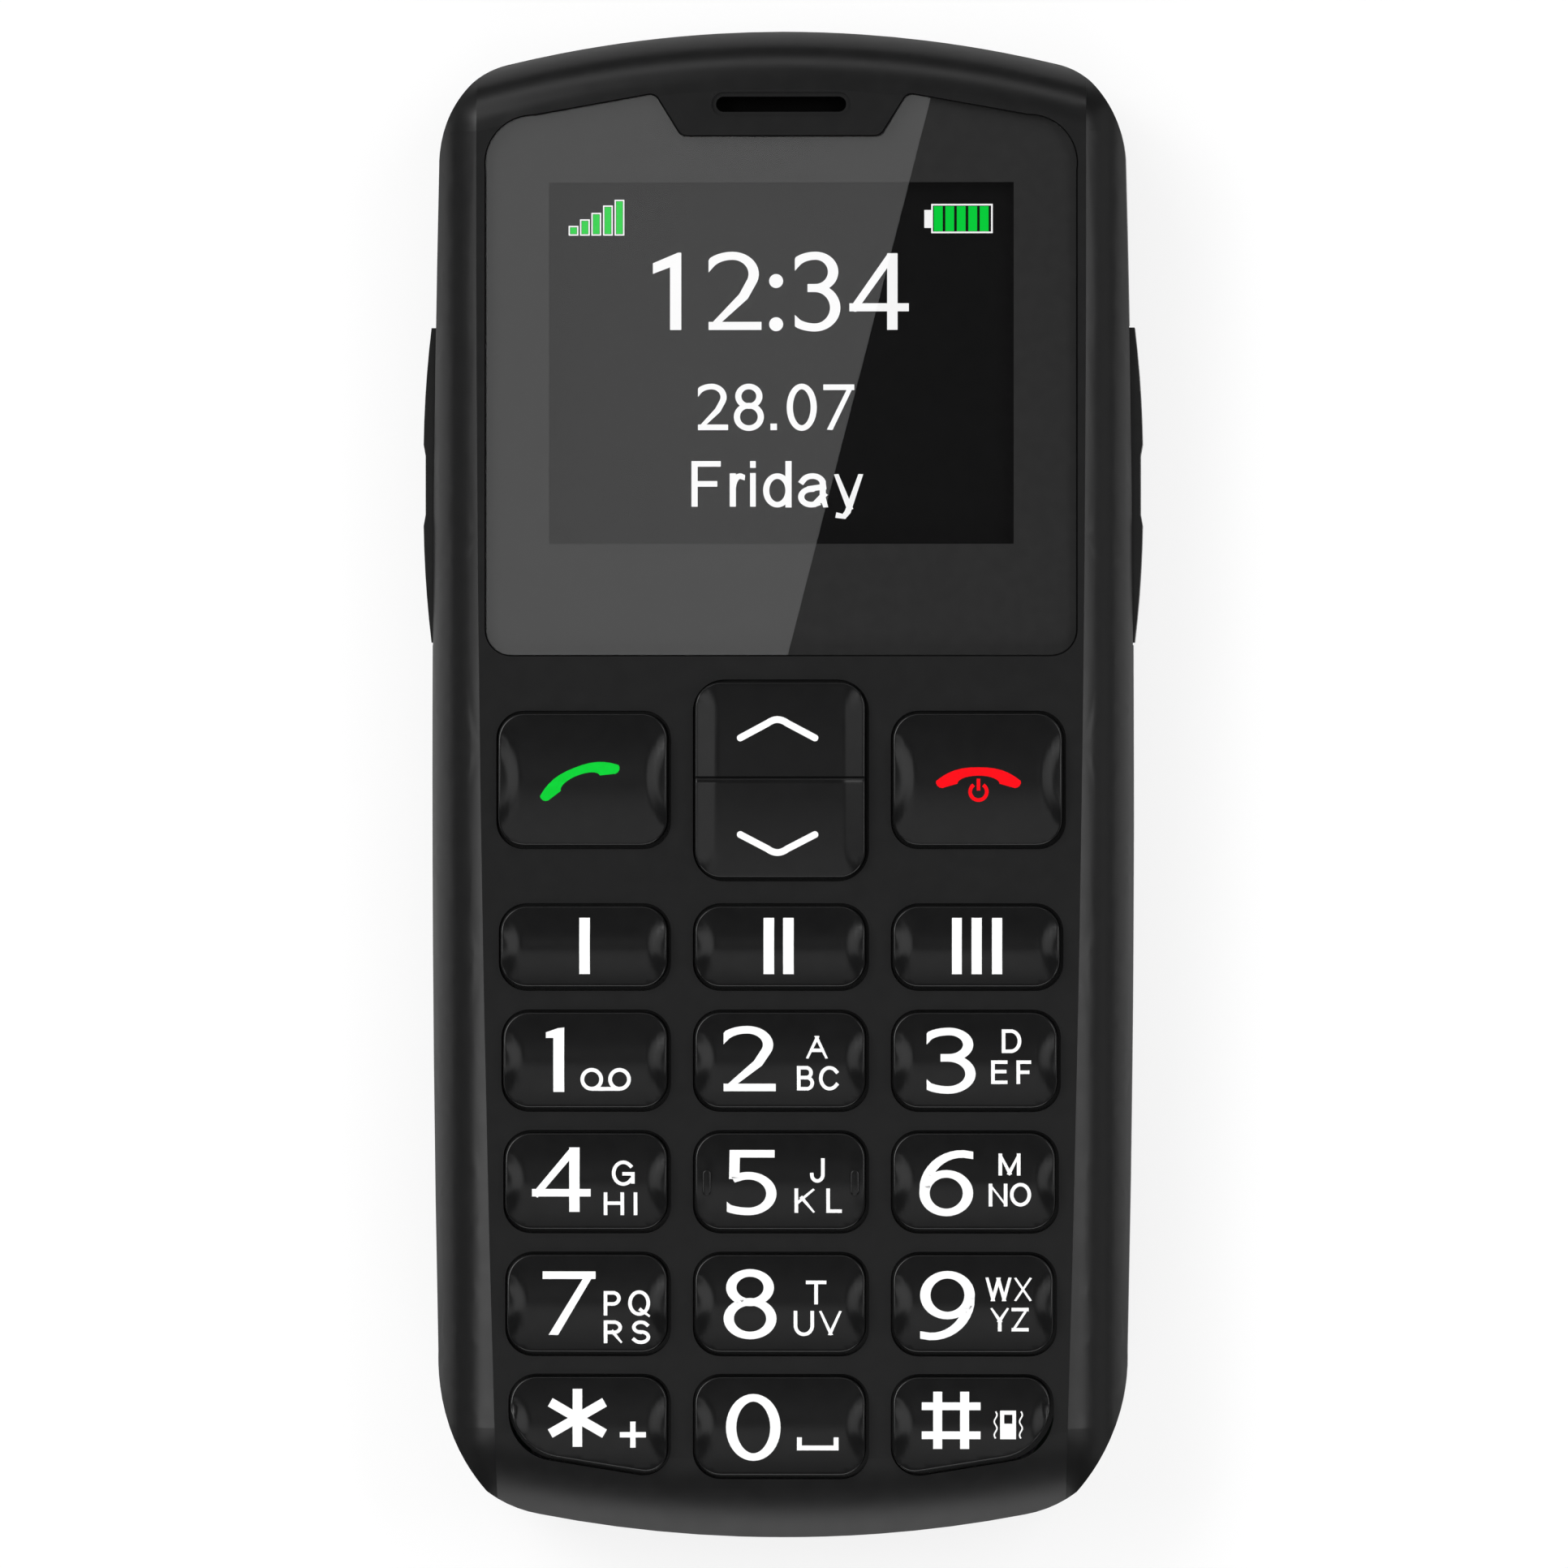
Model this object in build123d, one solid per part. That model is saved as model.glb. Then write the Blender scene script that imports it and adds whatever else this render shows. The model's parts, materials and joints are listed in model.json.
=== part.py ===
from build123d import *
import math
import os

# A bar phone with large keys, lying on its back: X to the right, Y to the earpiece, Z out of the screen.
# The origin is on the back face, under the middle of the phone. All lengths are in millimetres.

# Driving sizes of the body
body_length = 118.0
body_width = 55.06
key_top_height = 14.1
panel_height = 13.0
parting_height = 8.0
cover_height = 3.0
widest_height = 6.2
half_length = body_length / 2
half_width = body_width / 2
back_inset = 3.4
wall = 1.5
panel_wall = 1.8
seam = 0.12
overrun = 1.0
join = 0.05

# Outline of the right half, from the top middle to the bottom middle: the middle and the end of each arc
outline_shares = [
    ((0.444, 0.9859), (0.785, 0.956)),
    ((0.84, 0.946), (0.884, 0.9305)),
    ((0.9445, 0.8898), (0.978, 0.8186)),
    ((1.0, -0.068), (0.982, -0.754)),
    ((0.9233, -0.881), (0.84, -0.939)),
    ((0.785, -0.955), (0.69, -0.9695)),
    ((0.35, -0.9924), (0.0, -1.0)),
]

# Rolled ends of the front panel, which follow the arcs of the top and the bottom end
top_arc_radius = 90.0
top_roll_width = 4.6
top_roll_drop = 3.2
top_roll_bulge = 0.8
bottom_arc_radius = 115.0
bottom_roll_width = 6.0
bottom_roll_drop = 1.6
bottom_roll_bulge = 0.35

# Side rails: their width at the top, middle and bottom, and the crease between the panel and each rail
rail_width_top = 3.66
rail_width_middle = 3.98
rail_width_bottom = 5.23
crease_top = half_width - rail_width_top
crease_middle = half_width - rail_width_middle
crease_bottom = half_width - rail_width_bottom
crease_end = 4.0
crease_span = half_length - crease_end
crease_step = 0.06
rail_margin = 0.37
rail_reach = half_width + rail_margin
rail_drop = 6.8
rail_end = 2.6
rail_bulge_share = 0.17
rail_stations = 9

# Places along the phone, as shares of half its length
lens_bottom_share = 0.1712
lens_shoulder_share = 0.8136
lens_corner_share = 0.8864
lens_horn_share = 0.9153
lens_notch_share = 0.8585
window_bottom_share = 0.3186
window_top_share = 0.7983
slot_share = 0.9017
call_row_shares = (0.0939, -0.0832)
rocker_row_shares = (0.1353, -0.1258)
groove_share = 0.0058
memory_row_shares = (-0.1615, -0.271)
digit_row_shares = [(-0.3024, -0.4315), (-0.4624, -0.5927), (-0.6236, -0.7556)]
last_row_shares = (-0.7856, -0.9186)
star_low_shares = (-0.8859, -0.9198)
side_key_shares = (0.6068, 0.1881)
battery_top_share = 0.0576
battery_low_share = -0.8407
card_top_share = -0.2373
shield_shares = (0.6271, 0.1695)
speaker_share = 0.7542
motor_share = 0.7627
antenna_share = 0.8712
screw_row_shares = (0.1424, 0.8644)
tab_row_shares = (0.7119, 0.0, -0.5424)

# Display
lens_margin = 0.45
lens_half_width = crease_middle - lens_margin
lens_bottom = lens_bottom_share * half_length
lens_corner = 2.0
lens_shoulder = lens_shoulder_share * half_length
lens_top_corner_width = 3.8
lens_top_corner_x = lens_half_width - lens_top_corner_width
lens_top_corner_y = lens_corner_share * half_length
lens_shoulder_bulge = 1.35
lens_horn_x = 9.9
lens_horn_y = lens_horn_share * half_length
lens_notch_half = 7.85
lens_notch_y = lens_notch_share * half_length
lens_notch_corner = 0.8
lens_thickness = 0.9
lens_gap = 0.12
mask_thickness = 0.2
window_side = 4.9
window_half_width = lens_half_width - window_side
window_bottom = window_bottom_share * half_length
window_top = window_top_share * half_length
ledge_margin = 0.7
display_side = 1.9
display_foot = 3.2
display_head = 2.0
display_half_width = window_half_width + display_side
display_bottom = window_bottom - display_foot
display_top = window_top + display_head
display_glass = 1.0
display_gap = 0.1
flex_width = 14.0
flex_thickness = 0.15
flex_rise = 0.3
flex_run = 0.8
flex_reach = 5.8
connector_depth = 1.8
connector_height = 0.6
foam_thickness = 0.1
foam_border = 3.0
bezel_wall = 0.3
bezel_margin = 0.5

# Earpiece
slot_y = slot_share * half_length
slot_length = 10.2
slot_height = 1.2
rim_length = 10.9
rim_height = 1.9
rim_depth = 0.25
mesh_margin = 0.5
mesh_thickness = 0.3
receiver_length = 10.0
receiver_width = 5.6
receiver_thickness = 1.9
receiver_corner = 1.2
receiver_shift = 0.2

# Stack inside the body, from the back to the front
cover_wall = 1.2
battery_gap = 0.2
battery_thickness = 5.0
midplate_wall = 0.8
post_height = 0.4
board_thickness = 0.8
dome_film = 0.1
dome_rise = 0.22
dome_radius = 2.4
mat_lift = 0.5
mat_web = 0.3
pad_rise = 0.1
pad_radius = 2.2
cavity_side = 4.2
cavity_end = 2.0
cavity_step = 1.6

# Levels worked out from the stack
battery_bottom = cover_wall + battery_gap
battery_top = battery_bottom + battery_thickness
midplate_bottom = battery_top + battery_gap
midplate_top = midplate_bottom + midplate_wall
board_bottom = midplate_top + post_height
board_top = board_bottom + board_thickness
mat_bottom = board_top + mat_lift
mat_top = mat_bottom + mat_web
pad_top = mat_top + pad_rise
panel_under = panel_height - panel_wall
pocket_floor = panel_height - lens_thickness - mask_thickness

# Keys: columns, rows and shared sizes
column_inner = 8.8
middle_half = 6.7
key_corner = 2.0
key_side_gap = 0.2
flange_width = 0.6
flange_room = 0.25
flange_thickness = 0.8
flange_gap = 0.1
key_travel = 0.35
key_stop_gap = 0.05
key_wall = 1.0
key_roof = 1.4
plunger_radius = 1.5
crown_drop = 0.32
key_edge_round = 0.3
lip_depth = 1.3
lip_chord = 2.0
lip_rise = 0.28
lip_sink = 0.06
lip_edge_gap = 0.08
key_cap_height = key_top_height - lip_rise
call_margin = 1.45
call_outer = crease_middle - call_margin
call_lip_depth = 1.8
call_lip_chord = 3.8
call_lip_rise = 0.45
memory_margin = 1.65
memory_outer = crease_middle - memory_margin
digit_margin = 1.85
digit_step = 0.15
last_margin = 2.4
star_outer = crease_middle - last_margin
star_low_outer = star_low_shares[0] * half_length
star_low_inner = star_low_shares[1] * half_length
star_corner = 3.6
rocker_groove = groove_share * half_length
rocker_groove_width = 0.45
rocker_groove_depth = 0.25
rocker_flange_gap = 0.45
rocker_corner = 2.3
pip_x = 5.8
pip_length = 2.0
pip_width = 0.7
pip_rise = 0.22

# Side keys
side_key_top = side_key_shares[0] * half_length
side_key_bottom = side_key_shares[1] * half_length
side_key_low = 5.0
side_key_high = 9.0
side_key_stand = 0.69
side_key_dip_stand = 0.53
side_key_end_stand = 0.07
side_key_reach = half_width + side_key_stand
side_key_dip = half_width + side_key_dip_stand
side_key_end = half_width + side_key_end_stand
side_key_bow = 0.12
side_key_gap = 0.2
side_flange_depth = 2.78
side_flange_inner = half_width - side_flange_depth
side_flange_thickness = 0.7
side_flange_margin = 0.45
side_pocket_gap = 0.3
dip_half = 2.3
dip_slope = 0.9
side_press_y = 8.0
switch_depth = 1.6
switch_width = 3.6
switch_height = 0.9
switch_button = 0.35
switch_button_width = 1.4
switch_button_height = 0.5
switch_gap = 0.32
board_notch_gap = 0.4

# Battery and its bay
battery_width = 34.0
battery_corner = 1.6
battery_top_y = battery_top_share * half_length
battery_low_y = battery_low_share * half_length
bay_gap = 0.35
bay_wall = 1.1
bay_rim_gap = 0.3
bay_inset = 2.4
cover_inset = 3.3
board_inset = 2.1
mat_inset = 4.6
mat_end_inset = 2.6
boss_gap = 0.3
mat_rim = 0.8
mat_head = 0.38
film_inset = 4.9
terminal_pitch = 3.4
terminal_size = 2.2
terminal_height = 2.8
terminal_thickness = 0.15
contact_block_width = 11.0
contact_block_depth = 2.4
contact_block_height = 3.6
contact_finger = 1.0
contact_gap = 0.1

# Card and its socket, in a window of the bay floor
card_length = 25.0
card_width = 15.0
card_thickness = 0.76
card_corner = 3.0
card_top_y = card_top_share * half_length
socket_frame = 1.0
socket_grip = 13.0
socket_wall = 0.2
socket_gap = 0.1
window_gap = 0.5

# Screening can, sockets, microphone, loudspeaker, motor, torch and antenna
shield_half_width = 14.0
shield_top = shield_shares[0] * half_length
shield_bottom = shield_shares[1] * half_length
shield_height = 1.3
shield_wall = 0.25
usb_width = 7.5
usb_height = 2.45
usb_depth = 5.0
usb_wall = 0.3
usb_tongue = 0.6
usb_tongue_inset = 0.8
usb_corner = 0.7
usb_gap = 0.25
usb_setback = 0.3
mic_x = 12.0
mic_radius = 1.6
mic_length = 1.5
mic_hole = 0.5
mic_gap = 0.1
speaker_length = 15.0
speaker_width = 11.0
speaker_thickness = 3.6
speaker_y = speaker_share * half_length
speaker_corner = 3.0
speaker_rim = 1.0
speaker_rim_depth = 0.6
grille_slot = 0.9
grille_pitch = 1.9
grille_length = 9.0
grille_count = 5
cloth_thickness = 0.25
motor_x = 15.0
motor_y = motor_share * half_length
motor_radius = 4.0
motor_thickness = 2.7
torch_x = -14.0
torch_radius = 1.1
torch_flange = 0.35
torch_gap = 0.1
led_size = 2.2
led_length = 1.6
led_dome = 0.8
antenna_left = -10.0
antenna_right = 17.0
antenna_width = 3.2
antenna_y = antenna_share * half_length
antenna_thickness = 0.15

# Screws and their bosses
screw_side = 5.78
screw_top_side = 6.03
screw_places = [
    (half_width - screw_side, screw_row_shares[0] * half_length),
    (half_width - screw_top_side, screw_row_shares[1] * half_length),
]
boss_radius = 1.55
screw_radius = 0.7
screw_clearance = 0.08
screw_head_radius = 1.45
screw_head_height = 0.8
screw_tip_gap = 0.4
screw_recess_width = 0.35
screw_recess_length = 1.5
screw_recess_depth = 0.4

# Snap tabs of the cover, and the notch that opens it
tab_width = 4.0
tab_thickness = 0.8
tab_height = 1.6
tab_gap = 0.7
tab_rows = [share * half_length for share in tab_row_shares]
notch_width = 12.0
notch_depth = 1.4
notch_height = 0.9


def block(x0, x1, y0, y1, z0, z1):
    """A box between two values on each axis."""
    size = Box(abs(x1 - x0), abs(y1 - y0), abs(z1 - z0))
    return Pos((x0 + x1) / 2, (y0 + y1) / 2, (z0 + z1) / 2) * size


def rod(x, y, z0, z1, radius):
    """A round bar along Z."""
    return Pos(x, y, (z0 + z1) / 2) * Cylinder(radius, abs(z1 - z0))


def slab(face, z0, z1):
    """A flat face drawn at height zero, as a plate between two heights."""
    return Pos(0, 0, z0) * extrude(face, z1 - z0)


def rounded(x0, x1, y0, y1, corner):
    """A rectangle with round corners, drawn at height zero."""
    return Pos((x0 + x1) / 2, (y0 + y1) / 2) * RectangleRounded(abs(x1 - x0), abs(y1 - y0), corner)


def pill(length, height, x, y, upright=False):
    """A slot with round ends, drawn at height zero."""
    shape = SlotOverall(length, height)
    if upright:
        shape = Rot(0, 0, 90) * shape
    return Pos(x, y) * shape


def outline(inset, end_inset=None):
    """The body's plan, drawn in by one value at the sides and by another at the ends."""
    if end_inset is None:
        end_inset = inset
    width = half_width - inset
    length = half_length - end_inset
    arcs = []
    for side in (1, -1):
        start = (0, length)
        for middle, end in outline_shares:
            middle_point = (side * middle[0] * width, middle[1] * length)
            end_point = (side * end[0] * width, end[1] * length)
            arcs.append(ThreePointArc(start, middle_point, end_point))
            start = end_point
    return make_face(arcs)


def body_plate(inset, z0, z1, end_inset=None):
    """The body's plan, drawn in, as a plate between two heights."""
    return slab(outline(inset, end_inset), z0, z1)


def both_sides(shape):
    """A shape and its mirror image across the middle of the phone."""
    return [shape, mirror(shape, about=Plane.YZ)]


def crease(y):
    """Half the width of the front panel at a place along the phone."""
    share = y / crease_span
    slope = (crease_top - crease_bottom) / 2
    bend = (crease_top + crease_bottom) / 2 - crease_middle
    return crease_middle + slope * share + bend * share**2


def roll_drop(reach, width, drop, bulge):
    """How far a rolled end has dropped at a distance from its start."""
    if reach <= 0:
        return 0
    chord = math.hypot(width, drop)
    radius = (chord**2 / 4 + bulge**2) / (2 * bulge)
    tilt = math.atan2(drop, width)
    half_turn = math.asin(chord / 2 / radius)
    start = tilt - half_turn
    across = min(reach + radius * math.sin(start), radius * math.sin(tilt + half_turn))
    return radius * math.cos(start) - math.sqrt(radius**2 - across**2)


def panel_level(y):
    """The height of the front panel along its crease."""
    x = crease(y)
    top_reach = math.hypot(x, y - half_length + top_arc_radius) - top_arc_radius + top_roll_width
    low_reach = math.hypot(x, y + half_length - bottom_arc_radius) - bottom_arc_radius + bottom_roll_width
    top = roll_drop(top_reach, top_roll_width, top_roll_drop, top_roll_bulge)
    low = roll_drop(low_reach, bottom_roll_width, bottom_roll_drop, bottom_roll_bulge)
    return panel_height - max(top, low)


def rolled_end(radius, width, drop, bulge, side):
    """The cutter that rolls one end of the panel over, turned about the centre of the end's arc."""
    high = panel_height + overrun
    start = (radius - width, panel_height)
    end = (radius, panel_height - drop)
    curve = SagittaArc(start, end, bulge)
    outside = radius + overrun
    rest = Polyline(end, (outside, end[1] - overrun), (outside, high), (start[0], high), start)
    face = Plane.XZ * make_face([curve, rest])
    ring = revolve(Rot(0, 0, 45) * face, Axis.Z, 90)
    centre = side * (half_length - radius)
    turn = 0 if side > 0 else 180
    return Pos(0, centre, 0) * Rot(0, 0, turn) * ring


def rail_section(y):
    """The space outside the right rail, cut across the phone at one place along it."""
    high = panel_height + overrun
    x = crease(y)
    level = panel_level(y) - crease_step
    low = level - rail_drop
    chord = math.hypot(rail_reach - x, rail_drop)
    curve = SagittaArc((x, level), (rail_reach, low), chord * rail_bulge_share)
    outside = rail_reach + overrun
    rest = Polyline((rail_reach, low), (outside, low), (outside, high), (x, high), (x, level))
    plane = Plane((0, y, 0), (1, 0, 0), (0, -1, 0))
    return plane * make_face([curve, rest])


def roll_start(radius, width):
    """Where a rolled end begins along the crease, from the middle of the phone."""
    return half_length - radius + math.sqrt((radius - width) ** 2 - crease_middle**2)


def rail_cutters():
    """The space outside the right rail, in three lengths: both rolled ends and the long middle."""
    reach = half_length - rail_end
    top_start = roll_start(top_arc_radius, top_roll_width)
    low_start = -roll_start(bottom_arc_radius, bottom_roll_width)
    spans = [(-reach, low_start), (low_start, top_start), (top_start, reach)]
    cutters = []
    for start, end in spans:
        step = (end - start) / (rail_stations - 1)
        cutters.append(loft([rail_section(start + index * step) for index in range(rail_stations)]))
    return cutters


def back_shell(inset):
    """The rounded lower part of the body, from the back face to its widest line."""
    radius = (back_inset**2 + widest_height**2) / (2 * back_inset)
    sections = []
    steps = 5
    for index in range(steps):
        z = widest_height * (1 - math.cos(math.pi / 2 * index / (steps - 1)))
        rise = widest_height - z
        side = radius - math.sqrt(radius**2 - rise**2)
        sections.append(Pos(0, 0, z) * outline(inset + side))
    return loft(sections)


def rounded_plan(points, corners):
    """A plan through corner points, each with its own round."""
    face = make_face(Polyline(*points, close=True))
    if face.faces()[0].normal_at().Z < 0:
        face = make_face(Polyline(*reversed(points), close=True))
    for point, corner in zip(points, corners):
        nearest = face.vertices().sort_by_distance((point[0], point[1], 0))[0]
        face = fillet(nearest, corner)
    return face


def cap(plan, low, high, centre_y, half_height, top, crown):
    """A key cap whose top is a low barrel across the key, with its top edge rounded."""
    radius = (half_height**2 + crown**2) / (2 * crown)
    barrel = Pos(0, centre_y, top - radius) * Rot(0, 90, 0) * Cylinder(radius, body_width)
    solid = slab(plan, low, high) & barrel
    crown_edges = solid.faces().sort_by(Axis.Z)[-1].edges()
    return fillet(crown_edges, key_edge_round)


def lips(plan, low, sides, centre_y, depth, chord, rise, level):
    """The raised finger lips at the left and right edge of a key: low domes that run out at its edge."""
    ring = (chord**2 + depth**2) / (2 * depth)
    radius = (ring**2 + rise**2) / (2 * rise)
    inside = slab(offset(plan, -key_edge_round - lip_edge_gap), low, level + overrun)
    domes = []
    for edge, inward in sides:
        centre = (edge + inward * (depth - ring), centre_y, level + rise - radius)
        domes.append(inside & (Pos(*centre) * Sphere(radius)))
    return domes


def key(plan, row, edges, depth, chord, rise):
    """One key: a crowned cap with lips, a flange under the panel, a hollow and a plunger."""
    centre_y = (row[0] + row[1]) / 2
    half_height = (row[0] - row[1]) / 2
    low = pad_top + key_travel + key_stop_gap
    flange_high = panel_under - flange_gap
    lip_sides = ((edges[0], 1), (edges[1], -1))
    solid = cap(plan, low, key_top_height + overrun, centre_y, half_height, key_cap_height, crown_drop)
    for dome in lips(plan, flange_high, lip_sides, centre_y, depth, chord, rise, key_cap_height - lip_sink):
        solid += dome
    flange = slab(offset(plan, flange_width), flange_high - flange_thickness, flange_high)
    solid += flange & body_plate(cavity_side + flange_room, low, panel_under, cavity_end + flange_room)
    solid -= slab(offset(plan, -key_wall), low - overrun, key_cap_height - key_roof)
    middle_x = (edges[0] + edges[1]) / 2
    solid += rod(middle_x, centre_y, low, key_cap_height - key_roof + join, plunger_radius)
    return solid


def row_places(shares):
    """The upper and lower edge of a row of keys."""
    return (shares[0] * half_length, shares[1] * half_length)


# Every key's plan, row, edges and the depth, half chord and rise of its lips, by name
key_table = {}
call_row = row_places(call_row_shares)
memory_row = row_places(memory_row_shares)
last_row = row_places(last_row_shares)
rocker_row = row_places(rocker_row_shares)


def add_key(name, edges, row, depth=lip_depth, chord=lip_chord, rise=lip_rise):
    """Enter a rectangular key into the table."""
    plan = rounded(edges[0], edges[1], row[1], row[0], key_corner)
    key_table[name] = (plan, row, edges, depth, chord, rise)


def column_edges(side, outer):
    """The left and right edge of a key in one of the three columns."""
    if side == 0:
        return (-middle_half, middle_half)
    if side < 0:
        return (-outer, -column_inner)
    return (column_inner, outer)


add_key("key_call", column_edges(-1, call_outer), call_row, call_lip_depth, call_lip_chord, call_lip_rise)
add_key("key_end", column_edges(1, call_outer), call_row, call_lip_depth, call_lip_chord, call_lip_rise)
for index, side in enumerate((-1, 0, 1)):
    add_key("key_memory_" + str(index + 1), column_edges(side, memory_outer), memory_row)
for line, shares in enumerate(digit_row_shares):
    outer = crease_middle - digit_margin - line * digit_step
    for index, side in enumerate((-1, 0, 1)):
        add_key("key_" + str(line * 3 + index + 1), column_edges(side, outer), row_places(shares))
add_key("key_0", column_edges(0, star_outer), last_row)
for name, side in (("key_star", -1), ("key_hash", 1)):
    points = [
        (side * star_outer, last_row[0]),
        (side * column_inner, last_row[0]),
        (side * column_inner, star_low_inner),
        (side * star_outer, star_low_outer),
    ]
    plan = rounded_plan(points, (key_corner, key_corner, key_corner, star_corner))
    key_table[name] = (plan, last_row, column_edges(side, star_outer), lip_depth, lip_chord, lip_rise)
rocker_edges = column_edges(0, call_outer)
rocker_plan = rounded(rocker_edges[0], rocker_edges[1], rocker_row[1], rocker_row[0], rocker_corner)
rocker_middle = (rocker_row[0] + rocker_row[1]) / 2
pad_places = {}
for name in key_table:
    row = key_table[name][1]
    edges = key_table[name][2]
    pad_places[name] = [((edges[0] + edges[1]) / 2, (row[0] + row[1]) / 2)]
pad_places["key_nav"] = [
    (0, (rocker_groove + rocker_row[0]) / 2),
    (0, (rocker_groove + rocker_row[1]) / 2),
]
pads = [place for places in pad_places.values() for place in places]
all_plans = [entry[0] for entry in key_table.values()] + [rocker_plan]
parts = {}

# Whole body before it is parted into its shells
upper_body = body_plate(0, widest_height, panel_height)
upper_body -= rolled_end(top_arc_radius, top_roll_width, top_roll_drop, top_roll_bulge, 1)
upper_body -= rolled_end(bottom_arc_radius, bottom_roll_width, bottom_roll_drop, bottom_roll_bulge, -1)
for length in rail_cutters():
    for cutter in both_sides(length):
        upper_body -= cutter
lower_body = back_shell(0)


# Keys
for name, entry in key_table.items():
    parts[name] = key(*entry)

# The middle key has a raised pip beside each of its edges
pip_low = key_cap_height - key_roof / 2
for side in (-1, 1):
    row = key_table["key_5"][1]
    pip = pill(pip_length, pip_width, side * pip_x, (row[0] + row[1]) / 2, True)
    parts["key_5"] += slab(pip, pip_low, key_cap_height + pip_rise)


def rocker_key():
    """The up and down key: one cap with a groove across it, which tips about the groove."""
    low = pad_top + key_travel + key_stop_gap
    flange_high = panel_under - rocker_flange_gap
    half_height = (rocker_row[0] - rocker_row[1]) / 2
    high = key_top_height + overrun
    solid = cap(rocker_plan, low, high, rocker_middle, half_height, key_cap_height, crown_drop)
    inside = (rocker_edges[0] - overrun, rocker_edges[1] + overrun)
    groove_low = rocker_groove - rocker_groove_width / 2
    groove_high = rocker_groove + rocker_groove_width / 2
    groove_floor = key_cap_height - rocker_groove_depth
    solid -= block(inside[0], inside[1], groove_low, groove_high, groove_floor, key_top_height)
    solid += slab(offset(rocker_plan, flange_width), flange_high - flange_thickness, flange_high)
    solid -= slab(offset(rocker_plan, -key_wall), low - overrun, key_cap_height - key_roof)
    for x, y in pad_places["key_nav"]:
        solid += rod(x, y, low, key_cap_height - key_roof + join, plunger_radius)
    return solid


parts["key_nav"] = rocker_key()


def lens_plan(grow):
    """The lens, with its horns on both sides of the earpiece, drawn larger by one value."""
    edges = []
    corners = []
    for side in (1, -1):
        bottom = (0, lens_bottom - grow)
        corner_start = (side * (lens_half_width - lens_corner), lens_bottom - grow)
        corner_end = (side * (lens_half_width + grow), lens_bottom + lens_corner)
        corner_turn = (lens_corner + grow) * math.sqrt(2) / 2
        corner_middle = (
            side * (lens_half_width - lens_corner + corner_turn),
            lens_bottom + lens_corner - corner_turn,
        )
        shoulder = (side * (lens_half_width + grow), lens_shoulder)
        top_corner = (side * (lens_top_corner_x + grow / 2), lens_top_corner_y + grow)
        horn = (side * (lens_horn_x - grow / 2), lens_horn_y + grow)
        notch_low = (side * (lens_notch_half - grow), lens_notch_y + grow)
        notch_middle = (0, lens_notch_y + grow)
        edges.append(Line(bottom, corner_start))
        edges.append(ThreePointArc(corner_start, corner_middle, corner_end))
        edges.append(Line(corner_end, shoulder))
        edges.append(SagittaArc(shoulder, top_corner, -side * lens_shoulder_bulge))
        edges.append(Line(top_corner, horn))
        edges.append(Line(horn, notch_low))
        edges.append(Line(notch_low, notch_middle))
        corners += [horn, notch_low]
    face = make_face(edges)
    for x, y in corners:
        nearest = face.vertices().sort_by_distance((x, y, 0))[0]
        face = fillet(nearest, lens_notch_corner)
    return face


# Front housing: rails, panel, lens pocket, key openings, earpiece slot and screw bosses
front = upper_body - body_plate(-overrun, widest_height - overrun, parting_height)
front -= body_plate(wall, parting_height - overrun, parting_height + cavity_step)
front -= body_plate(cavity_side, parting_height, panel_under, cavity_end)
for x, y in screw_places:
    for side in (1, -1):
        front += rod(side * x, y, board_top, panel_under + join, boss_radius)
        front -= rod(side * x, y, board_top - overrun, panel_under, screw_radius)
front -= slab(lens_plan(lens_gap), pocket_floor, panel_height + overrun)
front -= block(
    -window_half_width - ledge_margin,
    window_half_width + ledge_margin,
    window_bottom - ledge_margin,
    window_top + ledge_margin,
    panel_under - overrun,
    pocket_floor + overrun,
)
for plan in all_plans:
    front -= slab(offset(plan, key_side_gap), panel_under - overrun, panel_height + overrun)
front -= slab(pill(slot_length, slot_height, 0, slot_y), panel_under - overrun, panel_height + overrun)
front -= slab(pill(rim_length, rim_height, 0, slot_y), panel_height - rim_depth, panel_height + overrun)


def side_slots():
    """The openings in both sides: each side key's way out, and room for its flange behind the wall."""
    way_out = block(
        side_flange_inner,
        side_key_reach + overrun,
        side_key_bottom - side_key_gap,
        side_key_top + side_key_gap,
        side_key_low - side_key_gap,
        side_key_high + side_key_gap,
    )
    margin = side_flange_margin + side_pocket_gap
    room = block(
        side_flange_inner - side_pocket_gap,
        side_flange_inner + side_flange_thickness + side_pocket_gap,
        side_key_bottom - margin,
        side_key_top + margin,
        side_key_low - margin,
        side_key_high + margin,
    )
    return both_sides(way_out) + both_sides(room)


for slot in side_slots():
    front -= slot
parts["front_housing"] = front


def bottom_edge(x, inset):
    """Where the inner face of the bottom wall lies at a distance from the middle."""
    return -half_length + inset + x**2 / (2 * bottom_arc_radius)


def top_edge(x, inset):
    """Where the inner face of the top wall lies at a distance from the middle."""
    return half_length - inset - x**2 / (2 * top_arc_radius) * (half_width / (half_width - inset))


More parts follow.
